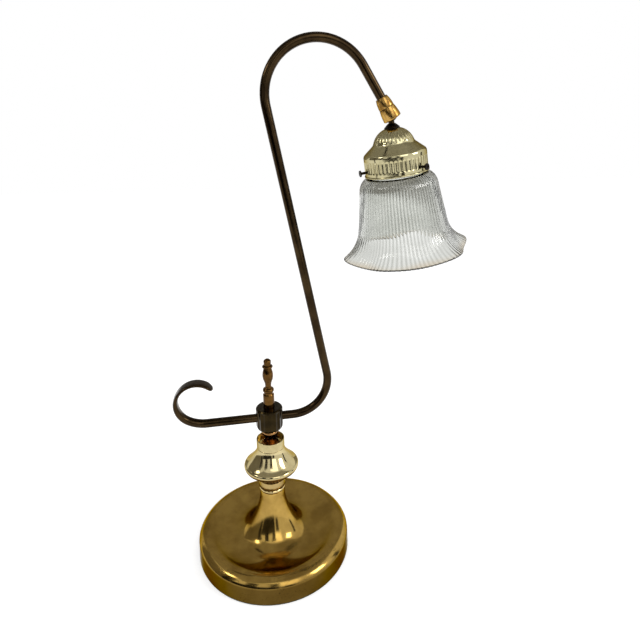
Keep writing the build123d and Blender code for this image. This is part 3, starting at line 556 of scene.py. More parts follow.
@dataclass(frozen=True)
class AgedBrass:
    """Old lacquered or bare brass: cloudy tarnish, fine pits and soft handling marks."""

    name: str
    bright: Colour
    dull: Colour
    tarnish: float = 0.5
    cloud_scale: float = 34.0
    roughness: float = 0.16
    pits: float = 0.3
    pit_scale: float = 900.0
    pit_colour: Colour = (0.03, 0.018, 0.006)
    edge_tint: Colour = (0.50, 0.40, 0.22)

    def pit_zone(self, bench: Bench, place: Signal) -> Signal | float:
        """Where the pits lie; everywhere alike on a plain piece."""
        return 1.0

    def shade(self, bench: Bench, place: Signal, colour: Signal) -> Signal:
        """A chance for a special finish to change the colour by place."""
        return colour

    def material(self) -> bpy.types.Material:
        """Builds the node material."""
        bench = Bench(f"{self.name}_finish")
        place = bench.place()
        cloud = bench.noise(place, self.cloud_scale, 4.0, 0.6).rise(0.36, 0.68)
        haze = bench.noise(place, self.cloud_scale * 5.0, 3.0, 0.6)
        grain = bench.noise(place, self.pit_scale, 2.0, 0.5)
        patch = bench.noise(place, self.cloud_scale * 2.2, 3.0, 0.6).rise(0.42, 0.66)
        pit = grain.rise(0.62, 0.70) * patch * self.pits * self.pit_zone(bench, place)
        colour = bench.blend(cloud * self.tarnish + (haze - 0.5) * 0.25, self.bright, self.dull)
        colour = self.shade(bench, place, colour)
        colour = bench.blend(pit.smaller(1.0), colour, self.pit_colour)
        rough = self.roughness + cloud * 0.06 + (haze - 0.5) * 0.10 + pit * 0.35
        height = haze * 0.25 - pit * 0.8
        return bench.surface(
            {
                "Base Color": colour,
                "Metallic": 1.0,
                "Specular Tint": self.edge_tint,
                "Roughness": rough,
                "Normal": bench.bump(height, 0.00006, 0.35),
            }
        )


@dataclass(frozen=True)
class BaseBrass(AgedBrass):
    """The base's brass, pitted along the shoulder, with a painted dark reflection on the skirt."""

    skirt_edge: float = 0.0845
    shoulder: float = 0.079

    def pit_zone(self, bench: Bench, place: Signal) -> Signal:
        """Pits gather along the rolled shoulder."""
        x, y, _ = bench.axes(place)
        radius = (x * x + y * y).root()
        return radius.rise(self.shoulder - 0.006, self.shoulder) * 1.6 + 0.15

    def shade(self, bench: Bench, place: Signal, colour: Signal) -> Signal:
        """Painted dark reflection on the skirt below the shoulder, shaded olive."""
        _, _, z = bench.axes(place)
        x, y, _ = bench.axes(place)
        radius = (x * x + y * y).root()
        # Painted dark reflection: the skirt below the shoulder is shaded towards olive, for the dark
        # surroundings it mirrors.
        skirt = radius.rise(self.skirt_edge, self.skirt_edge + 0.0015) * (1.0 - z.rise(0.018, 0.0235))
        return bench.blend(skirt * 0.85, colour, linear(66, 48, 16))


@dataclass(frozen=True)
class DarkBronze:
    """Dark antique bronze, rubbed lighter where hands and the years have worn it."""

    name: str
    dark: Colour
    rubbed: Colour
    roughness: float = 0.27
    wear: float = 0.55

    def material(self) -> bpy.types.Material:
        """Builds the node material."""
        bench = Bench(f"{self.name}_finish")
        place = bench.place()
        cloud = bench.noise(place, 45.0, 4.0, 0.62).rise(0.35, 0.70)
        streak = bench.noise(place, 240.0, 3.0, 0.5)
        speck = bench.noise(place, 900.0, 2.0, 0.5).rise(0.62, 0.74)
        worn = (cloud * 0.7 + (streak - 0.45) * 0.5) * self.wear
        colour = bench.blend(worn.larger(0.0).smaller(1.0), self.dark, self.rubbed)
        colour = bench.blend(speck * 0.25, colour, (0.012, 0.008, 0.005))
        return bench.surface(
            {
                "Base Color": colour,
                "Metallic": 1.0,
                "Roughness": self.roughness + (streak - 0.5) * 0.10 + speck * 0.08,
                "Normal": bench.bump(streak * 0.5 - speck * 0.3, 0.00004, 0.3),
            }
        )


@dataclass(frozen=True)
class ClearGlass:
    """Pressed clear glass with painted shade in the grooves of its ribs and over its lower flare, and a faint
    amber edge at the rim.
    """

    name: str
    edge_start: float
    edge_end: float
    origin: Triple
    along: Triple
    ribs: int
    # crest is the glass's own tint; groove is the painted shade laid in the rib grooves and over the lower
    # flare.
    crest: Colour = (0.93, 0.94, 0.91)
    groove: Colour = (0.50, 0.51, 0.48)
    amber: Colour = (0.55, 0.43, 0.27)

    def material(self) -> bpy.types.Material:
        """Builds the node material."""
        bench = Bench(f"{self.name}_finish")
        place = bench.place()
        along = Vector(self.along)
        side = along.cross(Vector((0.0, 1.0, 0.0))).normalized()
        across = side.cross(along)
        from_ball = bench.node(
            "ShaderNodeVectorMath", {"operation": "SUBTRACT"}, {0: place, 1: self.origin}
        )
        depth, left, back = (
            bench.node(
                "ShaderNodeVectorMath",
                {"operation": "DOT_PRODUCT"},
                {0: from_ball, 1: tuple(way)},
                output="Value",
            )
            for way in (along, side, across)
        )
        turn = bench.node("ShaderNodeMath", {"operation": "ARCTAN2"}, {0: back, 1: left})
        wave = bench.node("ShaderNodeMath", {"operation": "COSINE"}, {0: turn * float(self.ribs)})
        ripple = bench.noise(place, 90.0, 2.0, 0.5)
        # Painted shade: grey lines in the rib grooves, from the shoulder down.
        groove = (0.5 - wave * 0.5) * depth.rise(0.0600, 0.0640)
        colour = bench.blend(groove * (0.75 + ripple * 0.4), self.crest, self.groove)
        # Painted shade: the lower flare is greyed towards the rim.
        colour = bench.blend(depth.rise(0.108, 0.130) * 0.45, colour, self.groove)
        colour = bench.blend(depth.rise(self.edge_start, self.edge_end) * 0.6, colour, self.amber)
        return bench.surface(
            {
                "Base Color": colour,
                "Roughness": 0.01 + ripple * 0.03,
                "IOR": 1.45,
                "Transmission Weight": 1.0,
            }
        )


@dataclass(frozen=True)
class Plain:
    """A quiet finish for cloth, iron, porcelain, fibre and plastic: mottled, with a fine grain."""

    name: str
    colour: Colour
    other: Colour
    roughness: float
    grain_scale: float = 900.0
    relief: float = 0.0001
    metallic: float = 0.0
    coat: float = 0.0

    def material(self) -> bpy.types.Material:
        """Builds the node material."""
        bench = Bench(f"{self.name}_finish")
        place = bench.place()
        mottle = bench.noise(place, 60.0, 3.0).rise(0.3, 0.7)
        grain = bench.noise(place, self.grain_scale, 3.0)
        return bench.surface(
            {
                "Base Color": bench.blend(mottle * 0.6 + grain * 0.4, self.colour, self.other),
                "Metallic": self.metallic,
                "Roughness": self.roughness + (grain - 0.5) * 0.15,
                "Coat Weight": self.coat,
                "Normal": bench.bump(grain, self.relief, 0.5),
            }
        )


class Finish(Enum):
    """The finishes of the lamp, each made once."""

    BASE_BRASS = BaseBrass(
        "base_brass", linear(180, 148, 78), linear(128, 98, 44), tarnish=0.6, roughness=0.13, pits=1.0
    )
    BRIGHT_BRASS = AgedBrass(
        "bright_brass", linear(222, 200, 144), linear(168, 138, 78), tarnish=0.4, roughness=0.07, pits=0.2
    )
    PALE_BRASS = AgedBrass(
        "pale_brass", linear(200, 186, 142), linear(152, 135, 90), tarnish=0.5, roughness=0.08, pits=0.5
    )
    # Painted shade: a darker, browner copy of the pale brass for the vase's underside and the lower cup, which
    # lie in shade under the vase's bulge.
    BOWL_BRASS = AgedBrass(
        "bowl_brass_painted_shade", linear(176, 152, 100), linear(116, 90, 50), tarnish=0.5, roughness=0.08, pits=0.4
    )
    GALLERY_BRASS = AgedBrass(
        "gallery_brass", linear(196, 188, 150), linear(158, 149, 110), tarnish=0.5, roughness=0.09, pits=0.3
    )
    SWIVEL_BRASS = AgedBrass(
        "swivel_brass",
        linear(190, 152, 84),
        linear(118, 84, 38),
        tarnish=0.9,
        cloud_scale=120.0,
        roughness=0.20,
        pits=0.8,
    )
    RED_BRONZE = DarkBronze("red_bronze", linear(150, 110, 66), linear(206, 160, 104), 0.14, 0.6)
    OLIVE_BRONZE = DarkBronze("olive_bronze", linear(36, 29, 16), linear(76, 62, 34), 0.18, 0.5)
    DARK_BRONZE = DarkBronze("dark_bronze", linear(42, 32, 20), linear(84, 67, 42), 0.17, 0.5)
    FINIAL_BRONZE = DarkBronze("finial_bronze", linear(72, 50, 22), linear(140, 100, 50), 0.14, 0.6)
    BLACK_METAL = DarkBronze("black_metal", linear(24, 20, 16), linear(60, 48, 34), 0.30, 0.4)
    SHADE_GLASS = ClearGlass(
        "shade_glass", 0.1405, 0.1478, (0.13579, 0.0, 0.49102), (0.162887, 0.073238, -0.983923), 84
    )
    FELT = Plain("felt", (0.020, 0.030, 0.020), (0.035, 0.048, 0.034), 0.95, 1400.0, 0.0004)
    IRON = Plain("cast_iron", (0.03, 0.03, 0.03), (0.06, 0.055, 0.05), 0.6, 500.0, 0.0003, 1.0)
    STEEL = Plain("steel", (0.45, 0.45, 0.46), (0.34, 0.34, 0.35), 0.3, 700.0, 0.00004, 1.0)
    BLACK_PLASTIC = Plain("black_plastic", (0.02, 0.02, 0.02), (0.032, 0.03, 0.03), 0.42)
    LEAD_SHEATH = Plain("lead_sheath", (0.42, 0.30, 0.12), (0.34, 0.24, 0.10), 0.5)
    FIBRE = Plain("fibre", (0.10, 0.035, 0.018), (0.15, 0.06, 0.03), 0.7)
    PORCELAIN = Plain("porcelain", (0.80, 0.79, 0.74), (0.74, 0.72, 0.66), 0.22, 300.0, 0.00003, 0.0, 0.6)

    def dress(self, *pieces: bpy.types.Object) -> None:
        """Gives pieces this finish as their only material."""
        made = bpy.data.materials.get(f"{self.value.name}_finish") or self.value.material()
        for piece in pieces:
            piece.data.materials.clear()
            piece.data.materials.append(made)


def seat(piece: bpy.types.Object, body: str, node: str, finish: Finish) -> bpy.types.Object:
    """Puts a made piece in the place of its node.

    Args:
        piece: The piece.
        body: The body it moves with.
        node: The node it stands for.
        finish: Its finish.

    Returns:
        The piece.
    """
    finish.dress(piece)
    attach(piece, body)
    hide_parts(node)
    LOG.info("%s: %d faces on %s, for node %s", piece.name, len(piece.data.polygons), body, node)
    return piece


UPRIGHT = Spindle(
    Vector((0.0, 0.0, 0.0)), Vector((0.0, 0.0, 1.0)), Vector((1.0, 0.0, 0.0)), Vector((0.0, 1.0, 0.0))
)


@dataclass
class Base:
    """The spun base: skirt, rolled shoulder, dish and trumpet."""

    radius: float = 87.96
    wall: float = 1.2
    felt: float = 1.5
    skirt_height: float = 20.0
    skirt_draw: float = 0.7
    crest: Point = (79.0, 26.6)
    dish_rim: Point = (70.0, 25.6)
    dish_low: Point = (50.0, 19.5)
    foot_bend: float = 27.0
    foot_turn: float = 56.0
    top: Point = (13.8, 75.0)
    hole: float = 5.3

    def build(self) -> None:
        """Turns the shell."""
        outline = Outline(self.radius, self.felt)
        outline.line(self.radius - self.skirt_draw, self.skirt_height)
        outline.arc(self.crest, self.dish_rim)
        outline.arrive(*self.dish_low, (-1.0, 0.0))
        outline.turned(self.foot_bend, -self.foot_turn)
        outline.bend(*self.top)
        outline.line(self.hole, self.top[1])
        skin = outline.eased(0.5)
        piece = turned_piece("base_disc", sheet_of(skin, self.wall), UPRIGHT, 288)
        seat(piece, "stand", "base_shell", Finish.BASE_BRASS)


@dataclass
class Stem:
    """Ring, lower cup, waisted foot, two-part vase, upper cup and turned foot, on the rod."""

    base_top: float = 75.0
    hole: float = 5.3
    ring_radius: float = 14.9
    ring_height: float = 4.7
    cup_wall: float = 1.1
    low_cup: Point = (15.3, 9.4)
    spool: Point = (12.0, 7.2)
    spool_waist: float = 11.0
    vase_radius: float = 31.0
    vase_wall: float = 1.2
    bowl_height: float = 18.6
    bowl_foot: float = 12.2
    bowl_nose: Point = (1.6, 3.8)
    shoulder_height: float = 22.6
    shoulder_nose: Point = (2.0, 3.0)
    flank_turn: float = 47.0
    cove: Point = (3.4, 8.4)
    neck_radius: float = 15.6
    top_cup: Point = (15.8, 10.4)
    foot_radius: float = 10.8
    foot_ring: float = 2.4
    step_radius: float = 9.2
    step_root: float = 8.5
    step_height: float = 2.2
    foot_neck: Point = (6.8, 10.8)
    bead: Point = (8.4, 4.2)
    bead_root: float = 7.3
    foot_height: float = 19.6

    def __post_init__(self) -> None:
        """Works out the heights of the stack."""
        self.low_base = self.base_top + self.ring_height
        self.spool_base = self.low_base + self.cup_wall
        self.bowl_base = self.spool_base + self.spool[1]
        self.seam = self.bowl_base + self.bowl_height
        self.cup_base = self.seam + self.shoulder_height
        self.foot_base = self.cup_base + self.cup_wall
        self.top = self.foot_base + self.foot_height

    def ring(self) -> None:
        """Turns the bright ring."""
        half = self.ring_height / 2.0
        outline = Outline(self.hole, self.base_top).line(self.ring_radius - half, self.base_top)
        outline.arc((self.ring_radius, self.base_top + half), (self.ring_radius - half, self.low_base))
        outline.line(self.hole, self.low_base)
        piece = turned_piece("bright_ring", outline.points, UPRIGHT, 96)
        seat(piece, "stand", "neck_ring", Finish.BRIGHT_BRASS)

    def cup(self, name: str, node: str, base: float, size: Point, finish: Finish) -> None:
        """Turns one open cup.

        Args:
            name: Name of the piece.
            node: The node it stands for.
            base: Height of its underside.
            size: Its radius and height.
            finish: Its finish.
        """
        rim, floor = base + size[1], base + self.cup_wall
        inside = size[0] - self.cup_wall
        outline = Outline(self.hole, base).line(size[0], base)
        outline.line(size[0], rim).line(inside, rim).line(inside, floor)
        outline.line(self.hole, floor)
        piece = turned_piece(name, outline.eased(0.6, True), UPRIGHT, 112)
        seat(piece, "stand", node, finish)

    def waist(self) -> None:
        """Turns the waisted foot of the vase, which stands in the lower cup."""
        middle = (self.spool_base + self.bowl_base) / 2.0
        outline = Outline(self.hole, self.spool_base).line(self.spool[0], self.spool_base)
        outline.arc((self.spool_waist, middle), (self.spool[0], self.bowl_base))
        outline.line(self.hole, self.bowl_base)
        piece = turned_piece("vase_spool", outline.eased(0.4, True), UPRIGHT, 96)
        seat(piece, "stand", "vase_foot", Finish.RED_BRONZE)

    def bowl(self) -> None:
        """Turns the lower half of the vase, up to its rounded nose."""
        nose = (self.vase_radius - self.bowl_nose[0], self.seam - self.bowl_nose[1])
        start = Outline(self.vase_radius, self.seam).bend(*nose, (0.0, -1.0))
        start.bend(self.bowl_foot, self.bowl_base).line(self.hole, self.bowl_base)
        start.points.reverse()
        loop = sheet_of(start.eased(0.4), self.vase_wall)
        piece = turned_piece("vase_lower", loop, UPRIGHT, 160, crease=50.0)
        # The vase's underside takes the darker brass that paints its shade.
        seat(piece, "stand", "vase_bowl", Finish.BOWL_BRASS)

    def shoulder(self) -> None:
        """Turns the upper half of the vase: nose, crease, flank and cove."""
        nose = (self.vase_radius - self.shoulder_nose[0], self.seam + self.shoulder_nose[1])
        turn = math.radians(self.flank_turn)
        outline = Outline(self.vase_radius, self.seam).bend(*nose, (0.0, 1.0))
        outline.bend(
            self.neck_radius + self.cove[0],
            self.cup_base - self.cove[1],
            (-math.sin(turn), math.cos(turn)),
        )
        outline.bend(self.neck_radius, self.cup_base).line(self.hole, self.cup_base)
        loop = sheet_of(outline.eased(0.5), self.vase_wall)
        piece = turned_piece("vase_upper", loop, UPRIGHT, 160)
        seat(piece, "stand", "vase_shoulder", Finish.PALE_BRASS)

    def foot(self) -> None:
        """Turns the foot of the hub, which stands in the upper cup."""
        base = self.foot_base
        ring = base + self.foot_ring
        step = ring + self.step_height
        bead = self.top - self.bead[1]
        outline = Outline(self.hole, base).line(self.foot_radius, base)
        outline.line(self.foot_radius, ring).line(self.step_root, ring)
        outline.arc((self.step_radius, (ring + step) / 2.0), (self.step_root, step))
        outline.arrive(self.foot_neck[0], base + self.foot_neck[1], (0.0, 1.0))
        outline.bend(self.bead_root, bead)
        outline.arc((self.bead[0], (bead + self.top) / 2.0), (self.bead_root, self.top))
        outline.line(self.hole, self.top)
        piece = turned_piece("hub_foot_turned", outline.eased(0.35, True), UPRIGHT, 80)
        seat(piece, "stand", "hub_foot", Finish.RED_BRONZE)

    def build(self) -> None:
        """Makes the stack from the bottom up."""
        self.ring()
        # The lower cup takes the darker brass that paints the shade under the vase.
        self.cup("low_cup", "lower_cup", self.low_base, self.low_cup, Finish.BOWL_BRASS)
        self.waist()
        self.bowl()
        self.shoulder()
        self.cup("vase_cup", "stem_cup", self.cup_base, self.top_cup, Finish.PALE_BRASS)
        self.foot()


@dataclass
class Hub:
    """The fluted hub that carries the arm, and the finial that clamps it."""

    base: float = 149.9
    radius: float = 15.0
    base_radius: float = 8.6
    lip: Point = (9.5, 1.5)
    round_height: float = 7.5
    height: float = 28.8
    chamfer: float = 1.5
    flutes: int = 16
    flute_radius: float = 7.6
    flute_depth: float = 0.62
    flute_foot: float = 2.6
    flute_margin: float = 2.2
    hole: float = 5.0
    bar_height: float = 166.0
    stud_radius: float = 3.0
    column: Point = (6.3, 16.6)
    groove_radius: float = 5.1
    groove: float = 1.5
    ring_radius: float = 6.3
    ring_height: float = 4.8
    waist: Point = (3.4, 25.2)
    bulb: Point = (6.0, 38.0)
    neck: Point = (3.9, 47.2)
    collar_radius: float = 5.9
    collar: float = 2.4
    knob_radius: float = 4.2
    knob_rise: float = 2.6
    finial_height: float = 57.6

    def flute(self, radius: float, height: float, turn: float) -> float:
        """Depth of the scooped flutes, which run out on the rounding and stop under the top."""
        pitch = 2.0 * math.pi / self.flutes
        off = ((turn / pitch) % 1.0 - 0.5) * pitch
        line = self.radius + self.flute_radius - self.flute_depth
        reach = self.flute_radius**2 - (line * math.sin(off)) ** 2
        edge = line * math.cos(off) - math.sqrt(max(reach, 0.0))
        if edge > radius or radius < self.base_radius:
            return 0.0
        top = self.base + self.height - self.flute_margin
        low = ease(height, self.base + self.flute_foot - 0.6, self.base + self.flute_foot + 0.6)
        high = 1.0 - ease(height, top - 0.9, top + 0.5)
        return -(min(radius, self.radius) - edge) * low * high

    def body(self) -> None:
        """Turns the hub with its flutes."""
        top = self.base + self.height
        lip = (self.lip[0], self.base + self.lip[1])
        waist = self.base + self.round_height
        outline = Outline(self.hole, self.base).line(self.base_radius, self.base).line(*lip)
        outline.arrive(self.radius, waist, (0.0, 1.0))
        shelf = top - self.chamfer
        for step in range(1, 31):
            outline.line(self.radius, waist + (shelf - waist) * step / 30.0)
        outline.line(self.radius - self.chamfer, top).line(self.stud_radius, top)
        outline.line(self.stud_radius, self.base + self.height * 0.7)
        outline.line(self.hole, self.base + self.height * 0.5)
        loop = outline.eased(0.35, True)
        piece = turned_piece("fluted_hub", loop, UPRIGHT, 320, swell=self.flute, crease=30.0)
        seat(piece, "stand", "arm_hub", Finish.OLIVE_BRONZE)

    def finial(self) -> None:
        """Turns the finial and its stud."""
        top = self.base + self.height
        low = top + self.column[1] + self.groove
        high = low + self.ring_height
        collar = top + self.neck[1]
        waist = (self.waist[0], top + self.waist[1])
        bulb = (self.bulb[0], top + self.bulb[1])
        middle = ((waist[0] + bulb[0]) / 2.0, (waist[1] + bulb[1]) / 2.0)
        outline = Outline(0.0, self.bar_height + 4.85).line(self.stud_radius, self.bar_height + 4.85)
        outline.line(self.stud_radius, top).line(self.column[0], top)
        outline.line(self.column[0], low - 2.0 * self.groove)
        outline.line(self.groove_radius, low - self.groove).line(self.groove_radius, low)
        outline.arc((self.ring_radius, (low + high) / 2.0), (self.groove_radius, high))
        outline.arrive(*waist, (0.0, 1.0))
        outline.bend(*middle, (0.0, 1.0))
        outline.arrive(*bulb, (0.0, 1.0))
        outline.bend(self.neck[0], collar, (0.0, 1.0))
        outline.arc((self.collar_radius, collar + self.collar / 2.0), (self.neck[0], collar + self.collar))
        outline.line(self.knob_radius, top + self.finial_height - self.knob_rise)
        outline.arrive(0.0, top + self.finial_height, (-1.0, 0.0))
        piece = turned_piece("turned_finial", outline.eased(0.4), UPRIGHT, 72)
        seat(piece, "stand", "finial", Finish.FINIAL_BRONZE)

    def build(self) -> None:
        """Makes the hub and the finial."""
        self.body()
        self.finial()


@dataclass
class Arm:
    """The bent tube, with the scroll at its left end."""

    bar_height: float = 166.0
    radius: float = 4.73
    bend_start: float = 27.0
    low_bend: float = 40.0
    lean: float = 11.3
    leg: float = 290.6
    top_bend: float = 53.3
    end_lean: float = 32.0
    end_length: float = 35.3
    socket: float = 8.0
    scroll_start: float = -68.9
    scroll_radii: tuple[float, ...] = (38.0, 25.0, 22.1)
    scroll_turns: tuple[float, ...] = (30.0, 60.0, 144.0)
    strap_wide: float = 8.0
    strap_thick: float = 1.75
    strap_square: float = 3.0
    flat_turn: float = 156.0

    def __post_init__(self) -> None:
        """Works out the centreline."""
        self.bar_end = Vector((self.bend_start, 0.0, self.bar_height))
        self.low_centre = self.bar_end + Vector((0.0, 0.0, self.low_bend))
        self.leg_foot = self.low_centre + heading(90.0 - self.lean) * self.low_bend
        self.leg_head = self.leg_foot + heading(-self.lean) * self.leg
        self.top_centre = self.leg_head + heading(90.0 - self.lean) * self.top_bend
        self.end_start = self.top_centre + heading(90.0 - self.end_lean) * self.top_bend
        self.drop = heading(180.0 - self.end_lean)
        self.mouth = self.end_start + self.drop * self.end_length

    def scroll_spot(self, turn: float) -> tuple[Vector, Vector]:
        """Place and run of the scroll where it has turned by an angle, in degrees."""
        spot, turned = Vector((self.scroll_start, 0.0, self.bar_height)), 0.0
        for radius, arc in zip(self.scroll_radii, self.scroll_turns):
            step = min(max(turn - turned, 0.0), arc)
            centre = spot + heading(turned) * radius
            spot = centre - heading(turned + step) * radius
            turned += step
        return spot, heading(turned - 90.0)

    def scroll(self) -> list[Station]:
        """Sections of the scroll, from its tip back to the bar."""
        total = sum(self.scroll_turns)
        stations = []
        count = 96
        for step in range(count + 1):
            turn = total * math.sin(math.pi / 2.0 * step / count)
            spot, along = self.scroll_spot(turn)
            flat = ease(turn, 0.0, self.flat_turn)
            left = math.radians(total - turn) * self.scroll_radii[-1]
            tip = math.sqrt(max(1.0 - (1.0 - min(left / self.strap_wide, 1.0)) ** 2, 0.0))
            thick = self.radius + (self.strap_thick - self.radius) * flat
            wide = self.radius + (self.strap_wide - self.radius) * flat
            edge = math.sqrt(max(1.0 - (1.0 - min(left / self.strap_thick, 1.0)) ** 2, 0.0))
            stations.append(
                Station(
                    spot,
                    along * -1.0,
                    thick * max(edge, 0.05),
                    wide * max(tip, 0.12),
                    2.0 + (self.strap_square - 2.0) * flat,
                )
            )
        return stations[::-1]

    def run(self) -> list[Station]:
        """Sections of the tube, from the bar to the swivel."""
        places: list[tuple[Vector, Vector]] = []
        for step in range(1, 7):
            share = step / 6.0
            x = self.scroll_start + (self.bend_start - self.scroll_start) * share
            places.append((Vector((x, 0.0, self.bar_height)), Vector((1.0, 0.0, 0.0))))
        for step in range(1, 25):
            turn = 180.0 - (90.0 + self.lean) * step / 24.0
            places.append((self.low_centre + heading(turn) * self.low_bend, heading(turn - 90.0)))
        for step in range(1, 13):
            places.append((self.leg_foot + heading(-self.lean) * (self.leg * step / 12.0), heading(-self.lean)))
        turns = 180.0 + self.lean - self.end_lean
        for step in range(1, 41):
            turn = -90.0 - self.lean + turns * step / 40.0
            places.append((self.top_centre + heading(turn) * self.top_bend, heading(turn + 90.0)))
        for length in (self.end_length / 2.0, self.end_length, self.end_length + self.socket):
            places.append((self.end_start + self.drop * length, self.drop))
        return [Station(spot, along, self.radius, self.radius) for spot, along in places]

    def build(self) -> None:
        """Sweeps the arm."""
        piece = swept_piece("bent_arm", self.scroll() + self.run(), 64)
        seat(piece, "stand", "arm_tube", Finish.DARK_BRONZE)


@dataclass
class Swivel:
    """The two-part ball swivel on the end of the tube."""

    arm: Arm
    mouth_radius: float = 6.1
    seam_radius: float = 7.9
    seam: float = 10.8
    radius: float = 9.35
    bottom: float = 23.9
    edge: float = 1.1
    countersink: float = 7.1
    ball_depth: float = 19.5
    ball_radius: float = 6.7
    clearance: float = 0.25
    opening: float = 62.0
    gap: float = 0.3
    spigot: Point = (6.85, 12.5)

    def __post_init__(self) -> None:
        """Sets the spindle on the tube's end."""
        across = Vector((0.0, 1.0, 0.0))
        side = self.arm.drop.cross(across)
        self.spindle = Spindle(self.arm.mouth * MM, self.arm.drop, side, across)
        self.ball = self.arm.mouth + self.arm.drop * self.ball_depth

    def body(self) -> None:
        """Turns the upper half, which is fixed to the tube."""
        outline = Outline(self.arm.radius, 0.0).line(self.mouth_radius, 0.0)
        outline.arrive(self.seam_radius, self.seam, (0.0, 1.0))
        outline.line(self.spigot[0], self.seam).line(*self.spigot).line(3.0, self.spigot[1])
        outline.line(3.0, self.arm.socket).line(self.arm.radius, self.arm.socket)
        piece = turned_piece("swivel_upper", outline.eased(0.45, True)[::-1], self.spindle, 96)
        seat(piece, "stand", "swivel_body", Finish.SWIVEL_BRASS)

    def cap(self) -> None:
        """Turns the lower half, which closes round the ball."""
        seat_radius = self.ball_radius + self.clearance
        turn = math.radians(self.opening)
        lip = (seat_radius * math.sin(turn), self.ball_depth + seat_radius * math.cos(turn))
        half = math.radians((90.0 + self.opening) / 2.0)
        top = self.seam + self.gap
        outline = Outline(seat_radius, top).line(self.seam_radius, top)
        outline.arrive(self.radius, self.bottom - self.edge, (0.0, 1.0))
        outline.bend(self.radius - self.edge, self.bottom)
        outline.line(self.countersink, self.bottom).line(*lip)
        outline.arc(
            (seat_radius * math.sin(half), self.ball_depth + seat_radius * math.cos(half)),
            (seat_radius, self.ball_depth),
        )
        piece = turned_piece("swivel_lower", outline.eased(0.3, True)[::-1], self.spindle, 96)
        seat(piece, "swivel", "swivel_cap", Finish.SWIVEL_BRASS)

    def build(self) -> None:
        """Makes both halves."""
        self.body()
        self.cap()


